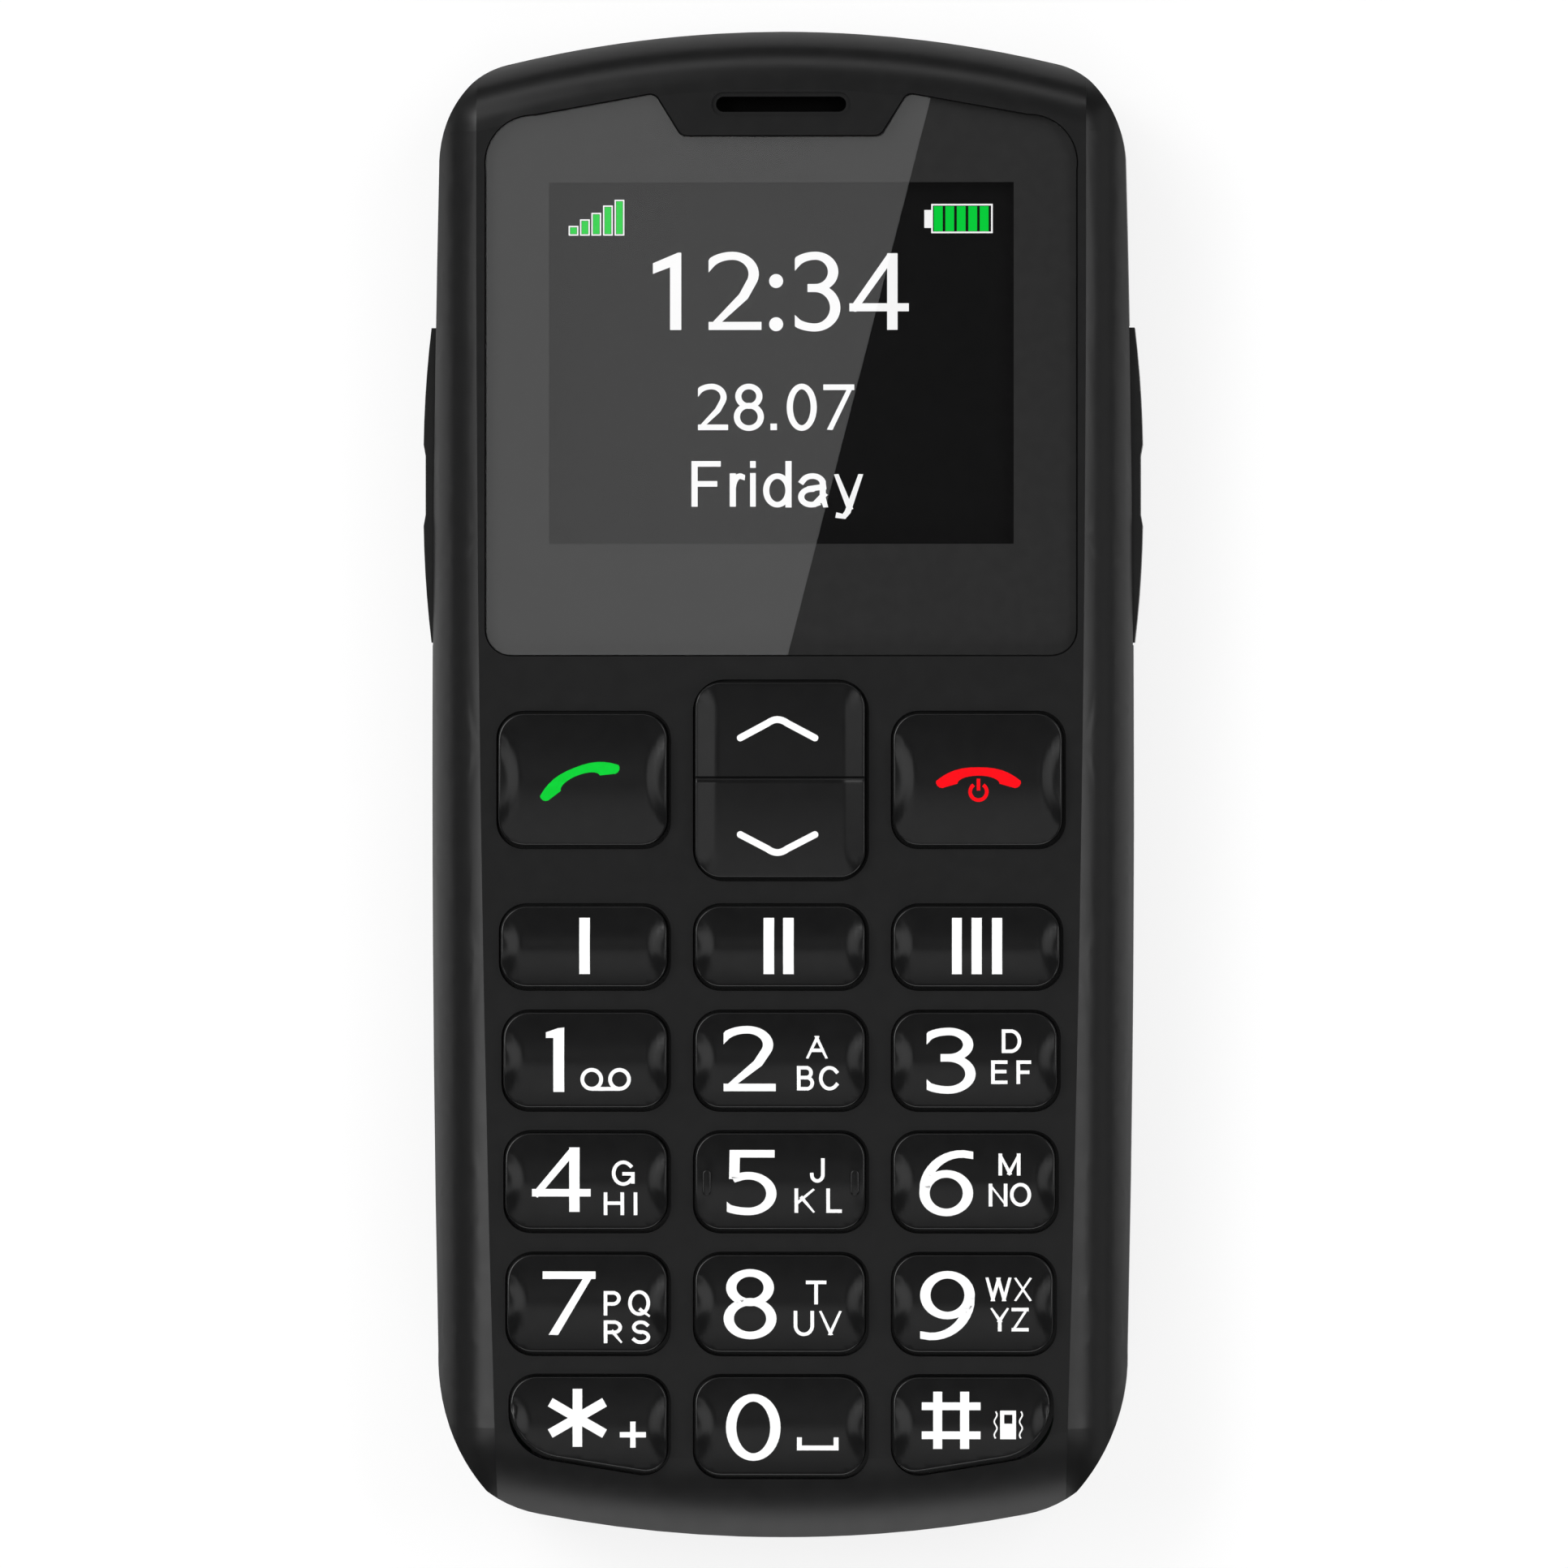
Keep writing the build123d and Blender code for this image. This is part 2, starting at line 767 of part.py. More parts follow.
# Rear housing: outer wall, plate under the board, battery bay and the openings in it
rear = body_plate(0, widest_height, parting_height - seam)
rear += lower_body - body_plate(-overrun, -overrun, cover_height + seam)
rear -= body_plate(wall, midplate_top, parting_height)
rear -= body_plate(bay_inset, cover_height - overrun, midplate_bottom)
bay_half = battery_width / 2 + bay_gap
bay_top = battery_top_y + bay_gap
bay_bottom = battery_low_y - bay_gap
rim_low = cover_wall + bay_rim_gap
bay = block(
    -bay_half - bay_wall,
    bay_half + bay_wall,
    bay_bottom - bay_wall,
    bay_top + bay_wall,
    rim_low,
    midplate_bottom + join,
)
bay -= block(-bay_half, bay_half, bay_bottom, bay_top, rim_low - overrun, midplate_bottom)
rear += bay
screw_hole = screw_radius + screw_clearance
for x, y in screw_places:
    for side in (1, -1):
        rear += rod(side * x, y, midplate_top - join, board_bottom, boss_radius)
        rear -= rod(side * x, y, midplate_bottom - overrun, board_bottom + overrun, screw_hole)

# Openings in the plate: contacts, card, screening can and charging socket
contact_y = bay_top
contact_low = midplate_bottom - contact_block_height
rear -= block(
    -contact_block_width / 2 - contact_gap,
    contact_block_width / 2 + contact_gap,
    contact_y - overrun,
    contact_y + contact_block_depth + contact_gap,
    contact_low - contact_gap,
    midplate_top + overrun,
)
card_bottom_y = card_top_y - card_length
socket_half = card_width / 2 + socket_gap + socket_frame
rear -= block(
    -socket_half - window_gap,
    socket_half + window_gap,
    card_bottom_y - window_gap,
    card_top_y + socket_frame + socket_gap + window_gap,
    midplate_bottom - overrun,
    midplate_top + overrun,
)
rear -= block(
    -shield_half_width - window_gap,
    shield_half_width + window_gap,
    shield_bottom - window_gap,
    shield_top + window_gap,
    midplate_bottom - overrun,
    midplate_top + overrun,
)
usb_low = board_bottom - usb_height
usb_mouth = -half_length + usb_setback
usb_back = usb_mouth + usb_depth
rear -= block(
    -usb_width / 2 - usb_gap,
    usb_width / 2 + usb_gap,
    usb_mouth,
    usb_back + usb_gap,
    usb_low - usb_gap,
    parting_height,
)


def along_y(face, y0, y1):
    """A flat face drawn in the XZ plane, as a bar between two places along the phone."""
    return Pos(0, y0, 0) * extrude(Plane.XZ * face, -(y1 - y0))


usb_middle = board_bottom - usb_height / 2
usb_mouth_plan = RectangleRounded(usb_width + 2 * usb_gap, usb_height + 2 * usb_gap, usb_corner)
rear -= along_y(Pos(0, usb_middle) * usb_mouth_plan, -half_length - overrun, usb_mouth + overrun)

# Hole for the microphone, hole for the torch, openings for the side keys
mic_y = bottom_edge(mic_x, bay_inset) + mic_gap
mic_z = midplate_bottom - mic_gap - mic_radius
rear -= along_y(Pos(mic_x, mic_z) * Circle(mic_hole), -half_length - overrun, mic_y + overrun)
rear -= along_y(Pos(mic_x, mic_z) * Circle(mic_radius + mic_gap), mic_y - mic_gap, mic_y + mic_length)
torch_z = midplate_bottom - torch_gap - torch_radius - torch_flange
torch_inner = top_edge(torch_x, bay_inset) - torch_gap - torch_flange
torch_outer = half_length - torch_x**2 / (2 * top_arc_radius)
torch_hole = Pos(torch_x, torch_z) * Circle(torch_radius + torch_gap)
rear -= along_y(torch_hole, torch_inner, half_length + overrun)
torch_seat = Pos(torch_x, torch_z) * Circle(torch_radius + torch_flange + torch_gap)
rear -= along_y(torch_seat, torch_inner - overrun, torch_inner + torch_flange + torch_gap)
for slot in side_slots():
    rear -= slot
parts["rear_housing"] = rear

# Battery cover: shell, snap tabs, opening notch and loudspeaker grille
cover = lower_body & body_plate(-overrun, -overrun, cover_height)
cover -= body_plate(cover_inset, cover_wall, cover_height + overrun)
tab_outer = half_width - bay_inset - tab_gap
for y in tab_rows:
    tab = block(
        tab_outer - tab_thickness,
        tab_outer,
        y - tab_width / 2,
        y + tab_width / 2,
        cover_wall - join,
        cover_height + tab_height,
    )
    for shape in both_sides(tab):
        cover += shape
cover -= block(
    -notch_width / 2,
    notch_width / 2,
    -half_length - overrun,
    -half_length + notch_depth,
    cover_height - notch_height,
    cover_height + overrun,
)
for index in range(grille_count):
    y = speaker_y + (index - (grille_count - 1) / 2) * grille_pitch
    cover -= slab(pill(grille_length, grille_slot, 0, y), -overrun, cover_wall + overrun)
parts["battery_cover"] = cover

# Display: lens, printed mask, glass, bezel, backlight, ribbon and its connector
parts["display_lens"] = slab(lens_plan(0), panel_height - lens_thickness, panel_height)
mask = slab(lens_plan(0), pocket_floor, pocket_floor + mask_thickness)
mask -= block(
    -window_half_width,
    window_half_width,
    window_bottom,
    window_top,
    pocket_floor - overrun,
    panel_height,
)
parts["lens_mask"] = mask
glass_top = panel_under - display_gap - bezel_wall
glass_low = glass_top - display_glass
display_low = board_top + foam_thickness
inner_half = display_half_width - bezel_wall
inner_bottom = display_bottom + bezel_wall
inner_top = display_top - bezel_wall
parts["display_glass"] = block(-inner_half, inner_half, inner_bottom, inner_top, glass_low, glass_top)
parts["display_backlight"] = block(-inner_half, inner_half, inner_bottom, inner_top, display_low, glass_low)
bezel = block(
    -display_half_width,
    display_half_width,
    display_bottom,
    display_top,
    display_low,
    panel_under - display_gap,
)
bezel -= block(-inner_half, inner_half, inner_bottom, inner_top, display_low - overrun, glass_top)
bezel -= block(
    -window_half_width - bezel_margin,
    window_half_width + bezel_margin,
    window_bottom - bezel_margin,
    window_top + bezel_margin,
    display_low,
    panel_height,
)
bezel -= block(
    -flex_width / 2 - window_gap,
    flex_width / 2 + window_gap,
    display_bottom - overrun,
    inner_bottom,
    display_low - overrun,
    display_low + flex_rise + flex_thickness + window_gap,
)
parts["display_bezel"] = bezel
foam = block(-inner_half, inner_half, inner_bottom, inner_top, board_top, display_low)
foam -= block(
    -inner_half + foam_border,
    inner_half - foam_border,
    inner_bottom + foam_border,
    inner_top - foam_border,
    board_top - overrun,
    display_low + overrun,
)
parts["display_foam"] = foam
connector_low_y = display_bottom - flex_reach
flex_high = display_low + flex_rise
flex_low = board_top + connector_height
ribbon = [
    (inner_bottom, flex_high + flex_thickness),
    (display_bottom - flex_run, flex_high + flex_thickness),
    (connector_low_y + connector_depth + flex_run, flex_low + flex_thickness),
    (connector_low_y, flex_low + flex_thickness),
    (connector_low_y, flex_low),
    (connector_low_y + connector_depth + flex_run, flex_low),
    (display_bottom - flex_run, flex_high),
    (inner_bottom, flex_high),
]
ribbon_face = Plane.YZ * make_face(Polyline(*ribbon, close=True))
parts["display_ribbon"] = extrude(ribbon_face, flex_width / 2, both=True)
parts["display_connector"] = block(
    -flex_width / 2 - socket_frame,
    flex_width / 2 + socket_frame,
    connector_low_y,
    connector_low_y + connector_depth,
    board_top,
    flex_low,
)

# Earpiece: mesh behind the slot and the receiver under it
mesh_top = panel_under
mesh = pill(rim_length + mesh_margin, rim_height + mesh_margin, 0, slot_y)
parts["earpiece_mesh"] = slab(mesh, mesh_top - mesh_thickness, mesh_top)
receiver_y = slot_y + receiver_shift
receiver_plan = rounded(
    -receiver_length / 2,
    receiver_length / 2,
    receiver_y - receiver_width / 2,
    receiver_y + receiver_width / 2,
    receiver_corner,
)
receiver_top = mesh_top - mesh_thickness
parts["earpiece_receiver"] = slab(receiver_plan, receiver_top - receiver_thickness, receiver_top)

# Main board, with holes for the screws and room for the side keys
board = body_plate(board_inset, board_bottom, board_top)
for x, y in screw_places:
    for side in (1, -1):
        board -= rod(side * x, y, board_bottom - overrun, board_top + overrun, screw_hole)
board_notch = block(
    side_flange_inner - board_notch_gap,
    half_width,
    side_key_bottom - side_flange_margin - board_notch_gap,
    side_key_top + side_flange_margin + board_notch_gap,
    board_bottom - overrun,
    board_top + overrun,
)
for shape in both_sides(board_notch):
    board -= shape
parts["main_board"] = board

# Keypad: dome sheet and rubber mat
mat_top_y = rocker_row[0] - mat_head
mat_bottom_y = last_row[1]
key_area = block(-half_width, half_width, mat_bottom_y, mat_top_y, board_top, mat_top)
sheet = body_plate(film_inset, board_top, board_top + dome_film, mat_end_inset) & key_area
sphere_radius = (dome_radius**2 + dome_rise**2) / (2 * dome_rise)
dome_centre = board_top + dome_film + dome_rise - sphere_radius
film_middle = board_top + dome_film / 2
above_film = block(-half_width, half_width, -half_length, half_length, film_middle, mat_bottom)
for x, y in pads:
    sheet += above_film & (Pos(x, y, dome_centre) * Sphere(sphere_radius))
mat = body_plate(mat_inset, board_top + dome_film, mat_top, mat_end_inset) & key_area
mat_hollow = body_plate(mat_inset + mat_rim, board_top, mat_bottom, mat_end_inset + mat_rim)
mat_hollow &= block(
    -half_width,
    half_width,
    mat_bottom_y + mat_rim,
    mat_top_y - mat_rim,
    board_top,
    mat_bottom,
)
mat -= mat_hollow
for x, y in pads:
    mat += rod(x, y, mat_top - join, pad_top, pad_radius)
for x, y in screw_places:
    for side in (1, -1):
        boss_room = rod(side * x, y, board_top - overrun, mat_top + overrun, boss_radius + boss_gap)
        sheet -= boss_room
        mat -= boss_room
parts["dome_sheet"] = sheet
parts["keypad_mat"] = mat

# Side keys and the switches behind them
side_middle = (side_key_top + side_key_bottom) / 2
flange_outer = side_flange_inner + side_flange_thickness


def side_key():
    """The right side key: a long cap with a finger dip, held by a flange behind the wall."""
    dip_top = side_middle + dip_half
    dip_bottom = side_middle - dip_half
    points_top = (side_key_reach, dip_top + dip_slope)
    points_bottom = (side_key_reach, dip_bottom - dip_slope)
    edges = [
        Line((flange_outer - join, side_key_bottom), (flange_outer - join, side_key_top)),
        Line((flange_outer - join, side_key_top), (side_key_end, side_key_top)),
        SagittaArc((side_key_end, side_key_top), points_top, side_key_bow),
        Polyline(points_top, (side_key_dip, dip_top), (side_key_dip, dip_bottom), points_bottom),
        SagittaArc(points_bottom, (side_key_end, side_key_bottom), side_key_bow),
        Line((side_key_end, side_key_bottom), (flange_outer - join, side_key_bottom)),
    ]
    body = slab(make_face(edges), side_key_low, side_key_high)
    flange = block(
        side_flange_inner,
        flange_outer,
        side_key_bottom - side_flange_margin,
        side_key_top + side_flange_margin,
        side_key_low - side_flange_margin,
        side_key_high + side_flange_margin,
    )
    return body + flange


right_key, left_key = both_sides(side_key())
parts["side_key_right"] = right_key
parts["side_key_left"] = left_key
button_face = side_flange_inner - switch_gap
switch_face = button_face - switch_button
switches = []
for y in (side_middle - side_press_y, side_middle + side_press_y):
    body = block(
        switch_face - switch_depth,
        switch_face,
        y - switch_width / 2,
        y + switch_width / 2,
        board_top,
        board_top + switch_height,
    )
    middle = board_top + switch_height / 2
    body += block(
        switch_face - join,
        button_face,
        y - switch_button_width / 2,
        y + switch_button_width / 2,
        middle - switch_button_height / 2,
        middle + switch_button_height / 2,
    )
    switches.append(body)
right_switches, left_switches = both_sides(Compound(children=switches))
parts["side_switches_right"] = right_switches
parts["side_switches_left"] = left_switches

# Battery, its terminals and the contacts that they press on
battery_plan = rounded(-battery_width / 2, battery_width / 2, battery_low_y, battery_top_y, battery_corner)
battery = slab(battery_plan, battery_bottom, battery_top)
battery_middle = (battery_bottom + battery_top) / 2
terminals = []
fingers = []
for index in (-1, 0, 1):
    x = index * terminal_pitch
    pad = block(
        x - terminal_size / 2,
        x + terminal_size / 2,
        battery_top_y - terminal_thickness,
        battery_top_y,
        battery_middle - terminal_height / 2,
        battery_middle + terminal_height / 2,
    )
    battery -= pad
    terminals.append(pad)
    fingers.append(
        block(
            x - contact_finger / 2,
            x + contact_finger / 2,
            battery_top_y + contact_gap,
            contact_y + contact_gap,
            battery_middle - contact_finger,
            battery_middle + contact_finger,
        )
    )
parts["battery"] = battery
parts["battery_terminals"] = Compound(children=terminals)
contact_block = block(
    -contact_block_width / 2,
    contact_block_width / 2,
    contact_y,
    contact_y + contact_block_depth,
    contact_low,
    board_bottom,
)
for finger in fingers:
    contact_block += finger
parts["battery_contacts"] = contact_block

# Card and its socket under the board
card_high = board_bottom - socket_gap
card_low = card_high - card_thickness
card_plan = rounded_plan(
    [
        (-card_width / 2, card_bottom_y),
        (card_width / 2, card_bottom_y),
        (card_width / 2, card_top_y),
        (-card_width / 2, card_top_y),
    ],
    (card_corner / 2, card_corner, card_corner / 2, card_corner / 2),
)
parts["sim_card"] = slab(card_plan, card_low, card_high)
socket_low = card_low - socket_gap - socket_wall
grip_low = card_top_y - socket_grip
sim_socket = block(
    -socket_half,
    socket_half,
    grip_low,
    card_top_y + socket_gap + socket_frame,
    socket_low,
    board_bottom,
)
sim_socket -= block(
    -card_width / 2 - socket_gap,
    card_width / 2 + socket_gap,
    grip_low - overrun,
    card_top_y + socket_gap,
    card_low - socket_gap,
    board_bottom + overrun,
)
parts["sim_socket"] = sim_socket

# Screening can under the board
shield = block(
    -shield_half_width,
    shield_half_width,
    shield_bottom,
    shield_top,
    board_bottom - shield_height,
    board_bottom,
)
shield -= block(
    -shield_half_width + shield_wall,
    shield_half_width - shield_wall,
    shield_bottom + shield_wall,
    shield_top - shield_wall,
    board_bottom - shield_height + shield_wall,
    board_bottom + overrun,
)
parts["shield_can"] = shield

# Charging socket: a thin shell with a tongue inside
shell_outer = Pos(0, usb_middle) * RectangleRounded(usb_width, usb_height, usb_corner)
shell_inner = Pos(0, usb_middle) * RectangleRounded(
    usb_width - 2 * usb_wall, usb_height - 2 * usb_wall, usb_corner - usb_wall
)
usb = along_y(shell_outer, usb_mouth, usb_back)
usb -= along_y(shell_inner, usb_mouth - overrun, usb_back - usb_wall)
usb += block(
    -usb_width / 2 + usb_tongue_inset + usb_wall,
    usb_width / 2 - usb_tongue_inset - usb_wall,
    usb_mouth + usb_tongue_inset,
    usb_back - usb_wall + join,
    usb_middle,
    usb_middle + usb_tongue,
)
parts["usb_connector"] = usb

# Microphone, loudspeaker, speaker cloth, vibration motor, antenna
mic = Pos(mic_x, mic_z) * Circle(mic_radius)
parts["microphone"] = along_y(mic, mic_y, mic_y + mic_length)
speaker_plan = rounded(
    -speaker_length / 2,
    speaker_length / 2,
    speaker_y - speaker_width / 2,
    speaker_y + speaker_width / 2,
    speaker_corner,
)
speaker = slab(speaker_plan, midplate_bottom - speaker_thickness, midplate_bottom)
speaker_low = midplate_bottom - speaker_thickness
speaker -= slab(offset(speaker_plan, -speaker_rim), speaker_low - overrun, speaker_low + speaker_rim_depth)
parts["loudspeaker"] = speaker
cloth_plan = offset(speaker_plan, -speaker_rim / 2)
parts["speaker_cloth"] = slab(cloth_plan, cover_wall, cover_wall + cloth_thickness)
parts["vibration_motor"] = rod(
    motor_x, motor_y, midplate_bottom - motor_thickness, midplate_bottom, motor_radius
)
parts["antenna"] = block(
    antenna_left,
    antenna_right,
    antenna_y,
    antenna_y + antenna_width,
    midplate_bottom - antenna_thickness,
    midplate_bottom,
)

# Torch: a clear lens through the top end and the lamp behind it
torch_rod = Pos(torch_x, torch_z) * Circle(torch_radius)
torch_rim = Pos(torch_x, torch_z) * Circle(torch_radius + torch_flange)
torch = along_y(torch_rod, torch_inner, torch_outer)
torch += along_y(torch_rim, torch_inner, torch_inner + torch_flange)
parts["torch_lens"] = torch
led = block(
    torch_x - led_size / 2,
    torch_x + led_size / 2,
    torch_inner - torch_gap - led_length,
    torch_inner - torch_gap - led_dome,
    torch_z - led_size / 2,
    torch_z + led_size / 2,
)
led += along_y(
    Pos(torch_x, torch_z) * Circle(led_size / 2 - torch_gap),
    torch_inner - torch_gap - led_dome - join,
    torch_inner - torch_gap,
)
parts["torch_lamp"] = led

# Housing screws
screws = []
screw_tip = panel_under - screw_tip_gap
head_low = midplate_bottom - screw_head_height
for x, y in screw_places:
    for side in (1, -1):
        screw = rod(side * x, y, head_low, midplate_bottom, screw_head_radius)
        screw += rod(side * x, y, midplate_bottom - join, screw_tip, screw_radius - screw_clearance)
        for turn in (0, 90):
            recess = Box(screw_recess_length, screw_recess_width, 2 * screw_recess_depth)
            screw -= Pos(side * x, y, head_low) * Rot(0, 0, turn) * recess
        screws.append(screw)
parts["housing_screws"] = Compound(children=screws)

os.makedirs("parts", exist_ok=True)
for name, shape in parts.items():
    export_step(shape, "parts/" + name + ".step")
print(len(parts), "nodes")
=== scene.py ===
import bpy
import bmesh
import json
import math
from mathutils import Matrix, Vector


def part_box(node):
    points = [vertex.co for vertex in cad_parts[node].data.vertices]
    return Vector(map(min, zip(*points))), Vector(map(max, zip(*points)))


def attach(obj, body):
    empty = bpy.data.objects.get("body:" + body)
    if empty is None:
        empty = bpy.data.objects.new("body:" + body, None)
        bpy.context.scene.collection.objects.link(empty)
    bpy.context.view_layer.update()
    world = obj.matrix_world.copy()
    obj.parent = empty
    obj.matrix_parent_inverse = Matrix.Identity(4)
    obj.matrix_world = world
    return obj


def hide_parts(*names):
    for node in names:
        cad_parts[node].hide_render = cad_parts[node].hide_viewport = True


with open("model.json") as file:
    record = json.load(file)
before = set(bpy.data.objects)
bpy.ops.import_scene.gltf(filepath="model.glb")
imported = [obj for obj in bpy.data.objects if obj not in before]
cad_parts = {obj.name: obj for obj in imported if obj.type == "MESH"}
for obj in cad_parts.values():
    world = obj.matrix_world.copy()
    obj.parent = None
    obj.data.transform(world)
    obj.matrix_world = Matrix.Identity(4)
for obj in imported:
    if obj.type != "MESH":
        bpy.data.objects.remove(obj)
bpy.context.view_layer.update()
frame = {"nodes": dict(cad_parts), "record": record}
nodes = frame["nodes"]

# The photograph's frame: 1932 pixels across, with the panel's middle line and the body's middle height
mm = 0.001
photo_pixels = 1932
pixel = 0.063818 * mm
panel_middle_px = 962
body_middle_px = 965.5

# Camera: a long lens over the phone, a little to its right
lens_length = 400
sensor_width = 36
camera_turn = math.radians(2.0)
focus_height = 6.2 * mm
near_clip_share = 0.01
far_clip_share = 20

# Lamps: each one's place, its width and its height up the sky, in metres, and its radiance
lamps = {
    "lamp_left": ((-0.87, 0.27, 0.98), (1.0, 0.36), 4.9),
    "lamp_right": ((0.81, 0.33, 1.0), (1.0, 0.36), 4.8),
    "lamp_low_left": ((-1.14, 0, 0.37), (1.6, 0.4), 0.2),
    "lamp_low_right": ((1.14, 0, 0.37), (1.6, 0.4), 0.6),
    "lamp_lips_left": ((-0.539, 0.115, 1.226), (0.8, 0.42), 1.15),
    "lamp_lips_right": ((0.453, 0.096, 1.262), (0.8, 0.48), 1.4),
    "lamp_corner": ((-0.8, 0.8, 1.0), (0.8, 0.8), 4.5),
    "lamp_head": ((0, 1.15, 0.72), (1.2, 0.3), 2.0),
    "lamp_foot": ((0, -1.1, 0.8), (1.2, 0.6), 3.2),
    "lamp_keys": ((0, -0.255, 1.3), (0.5, 0.29), 0.85),
    "lamp_card": ((-0.1005, 0.0842, 1.6), (0.12, 0.2), 0.75),
}

# Lamps that hang level instead of facing the phone, each with its turn about the vertical
level_lamps = {"lamp_keys": 0, "lamp_card": math.radians(-14.4)}

# How bright the sky is to all but the camera
world_level = 0.045


def place(x_px, y_px):
    """Where a pixel of the photograph lies on the panel, in metres."""
    return (x_px - panel_middle_px) * pixel, (body_middle_px - y_px) * pixel


def make_camera():
    """The camera at the photograph's angle."""
    data = bpy.data.cameras.new("camera")
    data.lens = lens_length
    data.sensor_width = sensor_width
    distance = lens_length / sensor_width * photo_pixels * pixel
    data.clip_start = distance * near_clip_share
    data.clip_end = distance * far_clip_share
    camera = bpy.data.objects.new("camera", data)
    bpy.context.collection.objects.link(camera)
    across = distance * math.sin(camera_turn)
    camera.location = (across, 0, focus_height + distance * math.cos(camera_turn))
    camera.rotation_euler = (0, camera_turn, 0)
    bpy.context.scene.camera = camera


def softbox(name, location, size, radiance):
    """A rectangular lamp of an even brightness that the camera doesn't see."""
    data = bpy.data.lights.new(name, "AREA")
    data.shape = "RECTANGLE"
    data.size, data.size_y = size
    data.energy = radiance * math.pi * size[0] * size[1]
    lamp = bpy.data.objects.new(name, data)
    bpy.context.collection.objects.link(lamp)
    lamp.location = location
    if name in level_lamps:
        lamp.rotation_euler = (0, 0, level_lamps[name])
    else:
        lamp.rotation_euler = (-Vector(location)).to_track_quat("-Z", "Y").to_euler()
    lamp.visible_camera = False


def math_node(tree, operation, *values):
    """A Math node's result, from other nodes' outputs and plain numbers."""
    node = tree.nodes.new("ShaderNodeMath")
    node.operation = operation
    for socket, value in zip(node.inputs, values):
        if isinstance(value, float):
            socket.default_value = value
        else:
            tree.links.new(value, socket)
    return node.outputs["Value"]


def mix_shaders(tree, output, share, first, second):
    """Give an output node's surface a mix of two shaders."""
    mix = tree.nodes.new("ShaderNodeMixShader")
    tree.links.new(share, mix.inputs["Fac"])
    tree.links.new(first, mix.inputs[1])
    tree.links.new(second, mix.inputs[2])
    tree.links.new(mix.outputs["Shader"], tree.nodes[output].inputs["Surface"])


def make_world():
    """A dim even sky that is white to the camera."""
    world = bpy.data.worlds.new("studio")
    bpy.context.scene.world = world
    world.use_nodes = True
    tree = world.node_tree
    rays = tree.nodes.new("ShaderNodeLightPath").outputs
    seen = tree.nodes.new("ShaderNodeBackground")
    seen.inputs["Color"].default_value = (1, 1, 1, 1)
    dim = tree.nodes["Background"]
    dim.inputs["Color"].default_value = (world_level, world_level, world_level, 1)
    surfaces = dim.outputs["Background"], seen.outputs["Background"]
    mix_shaders(tree, "World Output", rays["Is Camera Ray"], *surfaces)


def new_material(name, colour, roughness, metallic=0.0):
    """A material with a surface shader, and the node tree that its details are added to."""
    material = bpy.data.materials.new(name)
    material.use_nodes = True
    shader = material.node_tree.nodes["Principled BSDF"]
    shader.inputs["Base Color"].default_value = (*colour, 1)
    shader.inputs["Roughness"].default_value = roughness
    shader.inputs["Metallic"].default_value = metallic
    return material, material.node_tree, shader


# The levels of a noise pattern between which a roughness or a colour changes
roughness_levels = (0.3, 0.7)
colour_levels = (0.35, 0.65)
grain_detail = 3.0


def noise(tree, scale, detail=2.0):
    """A noise pattern on the object's own coordinates."""
    coordinates = tree.nodes.new("ShaderNodeTexCoord")
    pattern = tree.nodes.new("ShaderNodeTexNoise")
    pattern.inputs["Scale"].default_value = scale
    pattern.inputs["Detail"].default_value = detail
    tree.links.new(coordinates.outputs["Object"], pattern.inputs["Vector"])
    return pattern.outputs["Fac"]


def vary_roughness(tree, shader, scale, low, high):
    """Patches of slightly different gloss."""
    spread = tree.nodes.new("ShaderNodeMapRange")
    spread.inputs["From Min"].default_value = roughness_levels[0]
    spread.inputs["From Max"].default_value = roughness_levels[1]
    spread.inputs["To Min"].default_value = low
    spread.inputs["To Max"].default_value = high
    tree.links.new(noise(tree, scale), spread.inputs["Value"])
    tree.links.new(spread.outputs["Result"], shader.inputs["Roughness"])


def colour_ramp(tree, share, shader, dark, light, levels=(0.0, 1.0)):
    """Colour a surface by a pattern, from a dark to a light colour."""
    ramp = tree.nodes.new("ShaderNodeValToRGB")
    for element, level, colour in zip(ramp.color_ramp.elements, levels, (dark, light)):
        element.position = level
        element.color = (*colour, 1)
    tree.links.new(share, ramp.inputs["Fac"])
    tree.links.new(ramp.outputs["Color"], shader.inputs["Base Color"])


def vary_colour(tree, shader, scale, dark, light):
    """Patches of two close colours."""
    colour_ramp(tree, noise(tree, scale), shader, dark, light, colour_levels)


def grain(tree, shader, scale, strength, depth):
    """Fine relief, as from a spark-eroded mould."""
    bump = tree.nodes.new("ShaderNodeBump")
    bump.inputs["Strength"].default_value = strength
    bump.inputs["Distance"].default_value = depth
    tree.links.new(noise(tree, scale, grain_detail), bump.inputs["Height"])
    tree.links.new(bump.outputs["Normal"], shader.inputs["Normal"])


